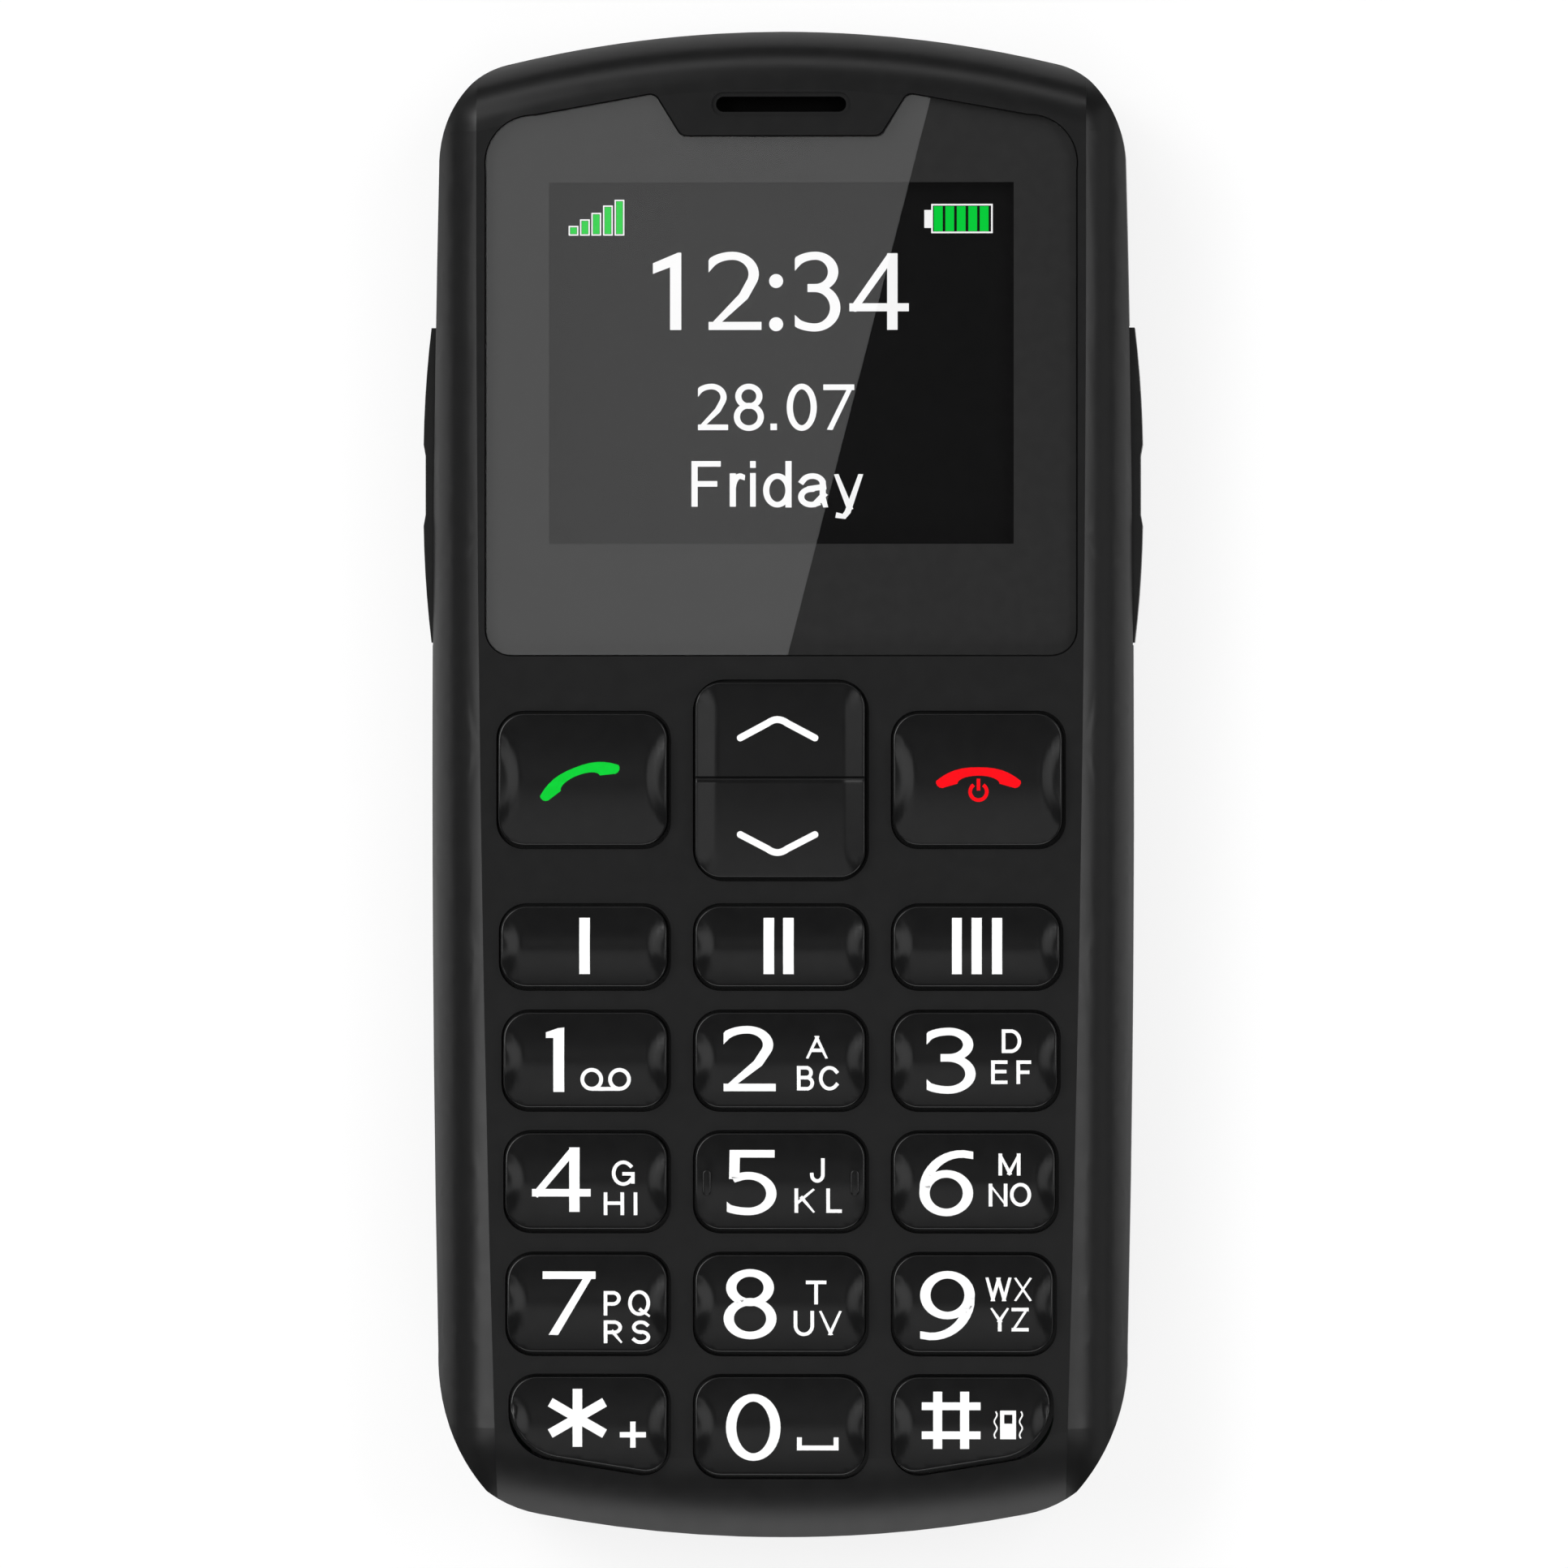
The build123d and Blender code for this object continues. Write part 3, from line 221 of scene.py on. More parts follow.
# Satin plastics: a material's name, its dark and light colour, its least and most roughness, the strength
# of its grain, and its gloss where that isn't the usual one
body_colours = ((0.0044, 0.0044, 0.0045), (0.0052, 0.0052, 0.0053))
satin_plastics = {
    "housing": ("housing_black", *body_colours, 0.28, 0.31, 0.03),
    "cover": ("cover_black", *body_colours, 0.36, 0.42, 0.1),
    "key": ("key_black", (0.0048, 0.0048, 0.0049), (0.0055, 0.0055, 0.0056), 0.19, 0.22, 0.02),
    "side_key": ("side_key_black", (0.005, 0.005, 0.0051), (0.006, 0.006, 0.0061), 0.3, 0.34, 0.03),
    "mask": ("mask_grey", (0.021, 0.021, 0.021), (0.023, 0.023, 0.023), 0.5, 0.55, 0.02, 0.0),
    "display": ("display_dark", (0.0035, 0.0035, 0.0036), (0.004, 0.004, 0.0041), 0.4, 0.45, 0.02, 0.0),
    "white_plastic": ("white_moulding", (0.7, 0.7, 0.68), (0.78, 0.78, 0.76), 0.4, 0.5, 0.2),
    "foam": ("foam_black", (0.02, 0.02, 0.02), (0.04, 0.04, 0.04), 0.9, 1.0, 1.0),
    "film_amber": ("film_amber", (0.38, 0.16, 0.03), (0.5, 0.22, 0.05), 0.3, 0.4, 0.1),
    "connector_black": ("connector_black", (0.012, 0.012, 0.012), (0.02, 0.02, 0.02), 0.45, 0.55, 0.2),
    "rubber_grey": ("rubber_grey", (0.2, 0.2, 0.21), (0.26, 0.26, 0.27), 0.6, 0.7, 0.3),
    "dome_film": ("dome_film", (0.6, 0.6, 0.58), (0.72, 0.72, 0.7), 0.3, 0.4, 0.1),
    "board": ("board_green", (0.005, 0.06, 0.02), (0.012, 0.1, 0.035), 0.3, 0.4, 0.2),
    "battery_case": ("battery_wrap", (0.03, 0.03, 0.032), (0.045, 0.045, 0.048), 0.35, 0.45, 0.1),
    "card": ("card_white", (0.75, 0.75, 0.75), (0.82, 0.82, 0.82), 0.4, 0.5, 0.1),
    "lamp_white": ("lamp_white", (0.75, 0.72, 0.45), (0.85, 0.83, 0.6), 0.15, 0.25, 0.05),
}
plastic_gloss = 0.32
plastic_colour_scale = 900
plastic_roughness_scale = 600
plastic_grain_scale = 9000
plastic_grain_depth = 0.02 * mm


def satin_plastic(name, dark, light, low, high, grain_strength, gloss=plastic_gloss):
    """Moulded plastic with a fine satin grain."""
    material, tree, shader = new_material(name, light, high)
    vary_colour(tree, shader, plastic_colour_scale, dark, light)
    vary_roughness(tree, shader, plastic_roughness_scale, low, high)
    grain(tree, shader, plastic_grain_scale, grain_strength, plastic_grain_depth)
    shader.inputs["Specular IOR Level"].default_value = gloss
    return material


# Metals: a material's name, its dark and light colour, and its least and most roughness
metals = {
    "steel": ("pressed_steel", (0.5, 0.5, 0.5), (0.62, 0.62, 0.61), 0.28, 0.4),
    "screw_steel": ("screw_steel", (0.25, 0.25, 0.26), (0.36, 0.36, 0.37), 0.3, 0.42),
    "gold": ("gold_plate", (0.75, 0.5, 0.18), (0.85, 0.62, 0.28), 0.2, 0.3),
}
metal_colour_scale = 500
metal_roughness_scale = 1500
metal_grain_scale = 4000
metal_grain_strength = 0.1
metal_grain_depth = 0.01 * mm


def plain_metal(name, dark, light, low, high):
    """Pressed or plated metal."""
    material, tree, shader = new_material(name, light, high, 1.0)
    vary_colour(tree, shader, metal_colour_scale, dark, light)
    vary_roughness(tree, shader, metal_roughness_scale, low, high)
    grain(tree, shader, metal_grain_scale, metal_grain_strength, metal_grain_depth)
    return material


clear_index = 1.49
clear_colour_scale = 120
clear_dark_share = 0.985


def clear_plastic(name, colour):
    """Clear polished plastic that lets the lamps' light straight through."""
    material, tree, shader = new_material(name, colour, 0.0)
    shader.inputs["Transmission Weight"].default_value = 1.0
    shader.inputs["IOR"].default_value = clear_index
    dark = [clear_dark_share * share for share in colour]
    vary_colour(tree, shader, clear_colour_scale, dark, colour)
    rays = tree.nodes.new("ShaderNodeLightPath").outputs
    through = tree.nodes.new("ShaderNodeBsdfTransparent")
    light_rays = math_node(tree, "MAXIMUM", rays["Is Shadow Ray"], rays["Is Diffuse Ray"])
    surfaces = shader.outputs["BSDF"], through.outputs["BSDF"]
    mix_shaders(tree, "Material Output", light_rays, *surfaces)
    return material


# Lit marks of the display: each one's colour
glows = {
    "glow_white": (1.0, 1.0, 1.0),
    "glow_green": (0.0, 0.64, 0.045),
}
glow_strength = 1.0
glow_roughness = 0.6
glow_roughness_range = (0.5, 0.7)
glow_roughness_scale = 3000


def glow(name, colour):
    """A lit mark of the display."""
    material, tree, shader = new_material(name, (0.0, 0.0, 0.0), glow_roughness)
    shader.inputs["Emission Color"].default_value = (*colour, 1)
    shader.inputs["Emission Strength"].default_value = glow_strength
    shader.inputs["Specular IOR Level"].default_value = 0.0
    vary_roughness(tree, shader, glow_roughness_scale, *glow_roughness_range)
    return material


cloth_dark = (0.0003, 0.0003, 0.0003)
cloth_light = (0.0016, 0.0016, 0.0016)
cloth_roughness = 0.85
cloth_gloss = 0.05
weave_scale = 2500


def woven(name):
    """Fine cloth behind a grille."""
    material, tree, shader = new_material(name, cloth_light, cloth_roughness)
    shader.inputs["Specular IOR Level"].default_value = cloth_gloss
    coordinates = tree.nodes.new("ShaderNodeTexCoord")
    weave = tree.nodes.new("ShaderNodeTexWave")
    weave.wave_type = "BANDS"
    weave.bands_direction = "DIAGONAL"
    weave.inputs["Scale"].default_value = weave_scale
    tree.links.new(coordinates.outputs["Object"], weave.inputs["Vector"])
    colour_ramp(tree, weave.outputs["Fac"], shader, cloth_dark, cloth_light)
    return material


# Printed inks: each one's light and dark colour
inks = {
    "ink_white": ((0.93, 0.93, 0.93), (0.9, 0.9, 0.9)),
    "ink_green": ((0.0, 0.58, 0.035), (0.0, 0.54, 0.03)),
    "ink_red": ((0.9, 0.0, 0.005), (0.84, 0.0, 0.005)),
}
ink_gloss = 0.1
ink_roughness = 0.55
ink_roughness_range = (0.5, 0.65)
ink_roughness_scale = 4000
ink_colour_scale = 2500


def printed_ink(name, light, dark):
    """Printed ink on a key."""
    material, tree, shader = new_material(name, light, ink_roughness)
    vary_colour(tree, shader, ink_colour_scale, dark, light)
    shader.inputs["Specular IOR Level"].default_value = ink_gloss
    vary_roughness(tree, shader, ink_roughness_scale, *ink_roughness_range)
    return material


def make_materials():
    """Every finish by its name, and each CAD node in the finish of its slot."""
    finishes = {
        "lens": clear_plastic("lens_clear", (1.0, 1.0, 1.0)),
        "clear": clear_plastic("torch_clear", (0.95, 0.95, 0.97)),
        "mesh": woven("mesh_black"),
    }
    for slot, values in satin_plastics.items():
        finishes[slot] = satin_plastic(*values)
    for slot, values in metals.items():
        finishes[slot] = plain_metal(*values)
    for name, colours in inks.items():
        finishes[name] = printed_ink(name, *colours)
    for name, colour in glows.items():
        finishes[name] = glow(name, colour)
    for subpart in frame["record"]["subparts"]:
        node = nodes[subpart["node"]]
        node.data.materials.clear()
        node.data.materials.append(finishes[subpart["material_slot"]])
    return finishes


# Floor: its surface, its own light, and how much of that light the eye and the phone's gloss see
floor_width = 6
floor_colour = (0.8, 0.8, 0.8)
floor_roughness = 0.9
floor_light = 1.06
floor_seen_share = 0.75
floor_mirrored_share = 0.2


def make_floor():
    """A plain pale floor that keeps the phone's shadow."""
    bpy.ops.mesh.primitive_plane_add(size=floor_width, location=(0, 0, 0))
    floor = bpy.context.object
    floor.name = "floor"
    material, tree, shader = new_material("floor_white", floor_colour, floor_roughness)
    rays = tree.nodes.new("ShaderNodeLightPath").outputs
    seen = math_node(tree, "MAXIMUM", rays["Is Camera Ray"], rays["Is Transmission Ray"])
    share = math_node(tree, "MULTIPLY", seen, floor_seen_share)
    share = math_node(tree, "MULTIPLY_ADD", rays["Is Glossy Ray"], floor_mirrored_share, share)
    light = tree.nodes.new("ShaderNodeEmission")
    light.inputs["Strength"].default_value = floor_light
    surfaces = shader.outputs["BSDF"], light.outputs["Emission"]
    mix_shaders(tree, "Material Output", share, *surfaces)
    floor.data.materials.append(material)


# Key caps: the heights of their top, underside and flange, and how far the crown falls to the edge
cap_top = 13.82 * mm
cap_low = 10.4 * mm
flange_top = 11.1 * mm
rocker_flange_top = 10.75 * mm
crown_drop = 0.32 * mm
crown_soft = 0.22

# Key caps: the flange's width, the corners, the rounded edge and the grid that the top is cut into
flange_width = 0.35 * mm
corner_round = 2.0 * mm
corner_segments = 10
edge_round = 0.16 * mm
edge_rings = 5
grid_step = 0.34 * mm

# How far the normals of top faces point up at least, and those of side faces at most
upward = 0.9
sideways = 0.1

# The low outer corner of the star and hash keys, which is lifted and rounder
slanted_rise = 2.0 * mm
slanted_corner = 3.6 * mm
slanted_segments = 12

# Finger lips: their depth and half their length along a key's edge, their slant and their rise
small_lip = (1.6 * mm, 2.7 * mm)
call_lip = (1.75 * mm, 4.1 * mm)
pip_key_share = 0.3
lip_slant = 1.3 * mm
lip_rise = 0.22 * mm

# The up and down key: the width and rise of its side bands, and each groove's place, half width and depth
side_band = (1.7 * mm, 0.22 * mm)
grooves = ((0.52 * mm, 0.08 * mm, 0.2 * mm), (0.08 * mm, 0.04 * mm, 0.05 * mm))
groove_cuts = (-1.08, -0.92, 0.92, 1.08)

# Sharpest angles, in degrees, that are shaded smooth
smooth_angle = 40
cap_smooth_angle = 50
lens_smooth_angle = 5

# Rows of keys in millimetres: low and high edge, and how far the outer keys reach from the middle line
key_rows = (
    (-4.91, 5.54, 22.1),
    (-15.99, -9.53, 21.9),
    (-25.46, -17.84, 21.7),
    (-34.97, -27.28, 21.55),
    (-44.58, -36.79, 21.4),
    (-54.2, -46.35, 21.15),
)
key_columns = {
    "left": ("call", "memory_1", "1", "4", "7", "star"),
    "middle": ("nav", "memory_2", "2", "5", "8", "0"),
    "right": ("end", "memory_3", "3", "6", "9", "hash"),
}
rocker_span = (-7.42, 7.98)
column_inner = 8.8
middle_half = 6.7

# How far a cap stays inside its solid key, in millimetres: at the left and top, and at the right and bottom
cap_clearance = 0.01
cap_shade_clearance = 0.1


def key_plans():
    """Each key's plan as left, right, low and high edge, in metres."""
    found = {}
    for column, names in key_columns.items():
        for name, (low, high, outer) in zip(names, key_rows):
            if name == "nav":
                low, high = rocker_span
            left, right = {
                "left": (-outer, -column_inner),
                "middle": (-middle_half, middle_half),
                "right": (column_inner, outer),
            }[column]
            left, right = left + cap_clearance, right - cap_shade_clearance
            low, high = low + cap_shade_clearance, high - cap_clearance
            found["key_" + name] = (left * mm, right * mm, low * mm, high * mm)
    return found


plans = key_plans()


def smooth_step(share):
    """A soft step from 0 to 1."""
    share = min(max(share, 0), 1)
    return share**2 * (3 - 2 * share)


def lip_height(x, y, plan, lip):
    """How far the finger lips at the left and right edge stand above a key."""
    depth, chord = lip
    ring = (chord**2 + depth**2) / (2 * depth)
    middle = (plan[2] + plan[3]) / 2
    total = 0
    for centre in (plan[0] + depth - ring, plan[1] - depth + ring):
        inside = ring - math.hypot(x - centre, y - middle)
        total += lip_rise * smooth_step(inside / lip_slant)
    return total


def band_height(x, y, plan):
    """The raised bands at the left and right edge of the up and down key, which end at a slant."""
    width, rise = side_band
    inside = min(x - plan[0], plan[1] - x)
    ends = min(y - plan[2], plan[3] - y)
    level = min(max(1 - inside / width, 0), 1)
    return rise * level * smooth_step(0.5 + (ends - inside) / width)


def key_height(name, x, y):
    """The height of a key's top at a point, before its edge is rounded."""
    plan = plans[name]
    half = (plan[3] - plan[2]) / 2
    across = (y - (plan[2] + plan[3]) / 2) / half
    roof = math.sqrt(across**2 + crown_soft**2) - crown_soft
    roof /= math.sqrt(1 + crown_soft**2) - crown_soft
    height = cap_top - crown_drop * (across**2 + roof) / 2
    if name == "key_nav":
        height += band_height(x, y, plan)
        for groove_y, groove_half, groove_depth in grooves:
            if abs(y - groove_y) < groove_half:
                height -= groove_depth
        return height
    lip = call_lip if name in ("key_call", "key_end") else small_lip
    share = pip_key_share if name == "key_5" else 1
    return height + share * lip_height(x, y, plan, lip)


def take(piece):
    """Give the next operators one piece to work on."""
    bpy.ops.object.select_all(action="DESELECT")
    piece.select_set(True)
    bpy.context.view_layer.objects.active = piece


def finish_piece(piece, material, angle=smooth_angle):
    """Shade a finished piece and give it its material."""
    piece.data.materials.clear()
    piece.data.materials.append(material)
    take(piece)
    bpy.ops.object.transform_apply(location=True, rotation=True, scale=True)
    bpy.ops.object.shade_smooth_by_angle(angle=math.radians(angle))


def start_block(name, box):
    """A block between two corners, open in edit mode."""
    (x0, x1), (y0, y1), (z0, z1) = box
    middle = ((x0 + x1) / 2, (y0 + y1) / 2, (z0 + z1) / 2)
    bpy.ops.mesh.primitive_cube_add(size=1, location=middle)
    piece = bpy.context.object
    piece.name = name
    piece.scale = (x1 - x0, y1 - y0, z1 - z0)
    bpy.ops.object.transform_apply(location=True, rotation=True, scale=True)
    bpy.ops.object.mode_set(mode="EDIT")
    return piece


def pick(piece, test, kind="FACE"):
    """Select the faces, edges or vertices that pass a test."""
    bpy.ops.mesh.select_mode(type=kind)
    bpy.ops.mesh.select_all(action="DESELECT")
    mesh = bmesh.from_edit_mesh(piece.data)
    elements = {"FACE": mesh.faces, "EDGE": mesh.edges, "VERT": mesh.verts}[kind]
    for element in elements:
        element.select_set(bool(test(element)))
    mesh.select_flush_mode()
    bmesh.update_edit_mesh(piece.data)


def upright(edge):
    """True for an edge along Z."""
    low, high = edge.verts
    return abs(low.co.z - high.co.z) > abs(low.co.x - high.co.x) + abs(low.co.y - high.co.y)


def is_top(face):
    """True for a face that looks up."""
    return face.normal.z > upward


def slice_all(piece, axis, start, end, step):
    """Cut a piece by evenly spaced planes across one axis."""
    count = max(1, round((end - start) / step))
    normal = [0, 0, 0]
    normal[axis] = 1
    for index in range(1, count):
        spot = [0, 0, 0]
        spot[axis] = start + (end - start) * index / count
        bpy.ops.mesh.select_all(action="SELECT")
        bpy.ops.mesh.bisect(plane_co=spot, plane_no=normal)


def round_corners(piece, plan, slanted_side):
    """Round a block's upright edges, with the low corner at a slanted side lifted first."""
    _, _, low, high = plan
    middle = (low + high) / 2

    def at_low_corner(vertex):
        return abs(vertex.co.x - slanted_side) < edge_round and vertex.co.y < middle

    def at_other_corner(vertex):
        away = abs(vertex.co.x - slanted_side) > slanted_corner + edge_round
        return away or vertex.co.y > high - edge_round

    if slanted_side is None:
        pick(piece, upright, "EDGE")
    else:
        pick(piece, at_low_corner, "VERT")
        bpy.ops.transform.translate(value=(0, slanted_rise, 0))
        pick(piece, lambda edge: upright(edge) and at_low_corner(edge.verts[0]), "EDGE")
        bpy.ops.mesh.bevel(offset=slanted_corner, segments=slanted_segments, affect="EDGES")
        pick(piece, lambda edge: upright(edge) and at_other_corner(edge.verts[0]), "EDGE")
    bpy.ops.mesh.bevel(offset=corner_round, segments=corner_segments, affect="EDGES")


def add_flange(piece, shelf):
    """Widen a block below the shelf."""
    bpy.ops.mesh.select_all(action="SELECT")
    bpy.ops.mesh.bisect(plane_co=(0, 0, shelf), plane_no=(0, 0, 1))

    def below_shelf(face):
        return abs(face.normal.z) < sideways and face.calc_center_median().z < shelf

    pick(piece, below_shelf)
    bpy.ops.mesh.extrude_region_shrink_fatten(TRANSFORM_OT_shrink_fatten={"value": flange_width})


def cut_grooves():
    """Cut the up and down key on both sides of each groove's walls."""
    for groove_y, groove_half, _ in grooves:
        for share in groove_cuts:
            bpy.ops.mesh.select_all(action="SELECT")
            spot = (0, groove_y + share * groove_half, 0)
            bpy.ops.mesh.bisect(plane_co=spot, plane_no=(0, 1, 0))


def make_key_cap(name):
    """A key cap: a rounded block with a flange, a crowned top, finger lips and a rounded edge."""
    left, right, low, high = plans[name]
    piece = start_block("cap_" + name, ((left, right), (low, high), (cap_low, cap_top)))
    slanted_side = {"key_star": left, "key_hash": right}.get(name)
    round_corners(piece, plans[name], slanted_side)
    pick(piece, is_top)
    for _ in range(edge_rings):
        bpy.ops.mesh.inset(thickness=edge_round / edge_rings, depth=0)
    add_flange(piece, rocker_flange_top if name == "key_nav" else flange_top)
    slice_all(piece, 0, left, right, grid_step)
    slice_all(piece, 1, low, high, grid_step)
    if name == "key_nav":
        cut_grooves()
    bpy.ops.object.mode_set(mode="OBJECT")
    shape_top(piece, name, slanted_side)
    finish_piece(piece, finishes["key"], cap_smooth_angle)
    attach(piece, name)
    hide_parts(name)


def edge_distance(x, y, plan, slanted_side):
    """How far inside a key's outline a point lies."""
    left, right, low, high = plan
    corner = corner_round
    if slanted_side is not None:
        inner = left + right - slanted_side
        share = (x - inner) / (slanted_side - inner)
        low = low + slanted_rise * share
        if abs(x - slanted_side) < slanted_corner and y < low + slanted_corner:
            corner = slanted_corner
    inside_x = min(x - left, right - x)
    inside_y = min(y - low, high - y)
    if inside_x < corner and inside_y < corner:
        return corner - math.hypot(corner - inside_x, corner - inside_y)
    return min(inside_x, inside_y)


def shape_top(piece, name, slanted_side):
    """Lift the top of a cap to its crown and lips, and round its edge."""
    for vertex in piece.data.vertices:
        if vertex.co.z < cap_top - edge_round / 2:
            continue
        x, y = vertex.co.x, vertex.co.y
        inside = edge_distance(x, y, plans[name], slanted_side)
        inside = min(max(inside, 0), edge_round)
        fall = edge_round - math.sqrt(edge_round**2 - (edge_round - inside) ** 2)
        vertex.co.z = key_height(name, x, y) - fall


# Strokes that several letters share
stem = ((0, 0), (0, 1))
far_stem = ((1, 0), (1, 1))
middle_stem = ((0.5, 0), (0.5, 1))
head_bar = ((0, 1), (1, 1))
foot_bar = ((0, 0), (1, 0))

# Strokes of the figures and letters, in shares of a mark's box: a path of points and arcs, an arc alone by
# its centre, radii and turns in degrees, or the outline of a filled shape
glyph_shares = {
    "0": [("arc", 0.5, 0.5, 0.5, 0.5, 90, 450)],
    "1": [("shape", (0, 0.925), (0.66, 0.99), (1, 1), (1, 0), (0.405, 0), (0.405, 0.838), (0, 0.838))],
    "thin 1": [("shape", (0, 0.863), (0.885, 1), (1, 1), (1, 0), (0.604, 0), (0.604, 0.81), (0, 0.725))],
    "2": [
        (
            ("arc", 0.44, 0.74, 0.64, 0.26, 152, 90),
            ("arc", 0.44, 0.74, 0.5, 0.26, 81, -30),
            (0.7, 0.42),
            (0, 0.02),
        ),
        foot_bar,
    ],
    "3": [
        (
            ("arc", 0.44, 0.775, 0.68, 0.225, 150, 90),
            ("arc", 0.44, 0.775, 0.5, 0.225, 81, -90),
            (0.36, 0.55),
        ),
        (
            (0.36, 0.55),
            ("arc", 0.42, 0.275, 0.58, 0.275, 90, -90),
            ("arc", 0.42, 0.275, 0.8, 0.275, -96, -136),
        ),
    ],
    "4": [((0.7, 1.0), (0, 0.3)), ((0, 0.27), (1, 0.27)), ((0.77, 0), (0.77, 1))],
    "5": [
        ((0.12, 1), (0.95, 1)),
        ((0.07, 1), (0.06, 0.63)),
        (
            ("arc", 0.42, 0.31, 0.62, 0.31, 114, 90),
            ("arc", 0.42, 0.31, 0.58, 0.31, 81, -90),
            ("arc", 0.42, 0.31, 0.9, 0.31, -96, -130),
        ),
    ],
    "6": [("arc", 0.5, 0.33, 0.5, 0.33, 0, 360), ("arc", 0.86, 0.38, 0.86, 0.62, 78, 180)],
    "7": [head_bar, ((0.97, 1.0), (0.2, 0.0))],
    "8": [("arc", 0.5, 0.765, 0.44, 0.235, 0, 360), ("arc", 0.5, 0.27, 0.5, 0.27, 0, 360)],
    "9": [("arc", 0.5, 0.67, 0.5, 0.33, 0, 360), ("arc", 0.14, 0.62, 0.86, 0.62, -102, 0)],
    "A": [((0, 0), (0.5, 1)), ((1, 0), (0.5, 1)), ((0.22, 0.34), (0.78, 0.34))],
    "B": [
        stem,
        ((0, 1), (0.55, 1)),
        ((0, 0.53), (0.6, 0.53)),
        ((0, 0), (0.6, 0)),
        ("arc", 0.55, 0.765, 0.36, 0.235, 90, -90),
        ("arc", 0.6, 0.265, 0.4, 0.265, 90, -90),
    ],
    "C": [("arc", 0.5, 0.5, 0.5, 0.5, 42, 318)],
    "D": [stem, ((0, 1), (0.45, 1)), ((0, 0), (0.45, 0)), ("arc", 0.45, 0.5, 0.55, 0.5, 90, -90)],
    "E": [stem, head_bar, ((0, 0.53), (0.92, 0.53)), foot_bar],
    "F": [stem, head_bar, ((0, 0.5), (0.85, 0.5))],
    "G": [("arc", 0.5, 0.5, 0.5, 0.5, 45, 318), ((1, 0.1), (1, 0.47)), ((0.55, 0.47), (1, 0.47))],
    "H": [stem, far_stem, ((0, 0.53), (1, 0.53))],
    "I": [middle_stem],
    "J": [((1, 0.3), (1, 1)), ("arc", 0.5, 0.3, 0.5, 0.3, 0, -180)],
    "K": [stem, ((0.96, 1), (0.02, 0.38)), ((0.36, 0.6), (1, 0))],
    "L": [stem, foot_bar],
    "M": [stem, far_stem, ((0, 1), (0.5, 0.05)), ((1, 1), (0.5, 0.05))],
    "N": [stem, far_stem, ((0, 1), (1, 0))],
    "O": [("arc", 0.5, 0.5, 0.5, 0.5, 0, 360)],
    "P": [stem, ((0, 1), (0.55, 1)), ((0, 0.47), (0.55, 0.47)), ("arc", 0.55, 0.735, 0.45, 0.265, 90, -90)],
    "Q": [("arc", 0.5, 0.53, 0.5, 0.47, 0, 360), ((0.62, 0.22), (1, 0))],
    "R": [
        stem,
        ((0, 1), (0.55, 1)),
        ((0, 0.47), (0.55, 0.47)),
        ("arc", 0.55, 0.735, 0.42, 0.265, 90, -90),
        ((0.5, 0.47), (1, 0)),
    ],
    "S": [("arc", 0.5, 0.75, 0.46, 0.25, 35, 262), ("arc", 0.5, 0.26, 0.5, 0.26, 98, -145)],
    "T": [head_bar, middle_stem],
    "U": [((0, 0.4), (0, 1)), ((1, 0.4), (1, 1)), ("arc", 0.5, 0.4, 0.5, 0.4, 180, 360)],
    "V": [((0, 1), (0.5, 0)), ((1, 1), (0.5, 0))],
    "W": [((0, 1), (0.25, 0)), ((0.5, 1), (0.25, 0)), ((0.5, 1), (0.75, 0)), ((1, 1), (0.75, 0))],
    "X": [((0.02, 1), (0.98, 0)), ((0.98, 1), (0.02, 0))],
    "Y": [((0, 1), (0.5, 0.45)), ((1, 1), (0.5, 0.45)), ((0.5, 0), (0.5, 0.48))],
    "Z": [head_bar, ((0.98, 0.98), (0.02, 0.02)), foot_bar],
    "a": [
        ("arc", 0.47, 0.74, 0.43, 0.26, 155, 0),
        ((0.9, 0.15), (0.9, 0.74)),
        ("arc", 0.42, 0.27, 0.42, 0.27, 90, 300),
        ((0.4, 0.56), (0.9, 0.62)),
        ((0.9, 0.3), (0.62, 0.06)),
        ((0.92, 0.2), (1, 0)),
    ],
    "d": [far_stem, ("arc", 0.5, 0.35, 0.5, 0.35, 0, 360)],
    "i": [((0.5, 0), (0.5, 0.7)), ((0.5, 0.97), (0.5, 1))],
    "r": [stem, ("arc", 0.8, 0.5, 0.8, 0.5, 75, 165)],
    "y": [((0, 1), (0.52, 0.26)), ((1, 1), (0.46, 0.12), (0.3, 0.01), (0.1, 0.03))],
}
arc_step = 9
least_arc_steps = 6


def arc_points(arc):
    """Points along an arc given by its centre, radii and start and end turn."""
    _, x, y, x_radius, y_radius, start, end = arc
    steps = max(least_arc_steps, round(abs(end - start) / arc_step))
    turns = [math.radians(start + (end - start) * index / steps) for index in range(steps + 1)]
    return [(x + x_radius * math.cos(turn), y + y_radius * math.sin(turn)) for turn in turns]


def stroke_points(stroke):
    """The middle line of one stroke, in shares of its box."""
    if stroke[0] == "arc":
        return arc_points(stroke)
    points = []
    for item in stroke:
        points += arc_points(item) if item[0] == "arc" else [item]
    return points


# How high marks lie over their surface, and each later stroke over the one before
ink_lift = 0.012 * mm
stroke_lift = 0.0008 * mm

# How near a stroke's ends meet if it is closed, in shares of half the pen
closing_share = 0.02


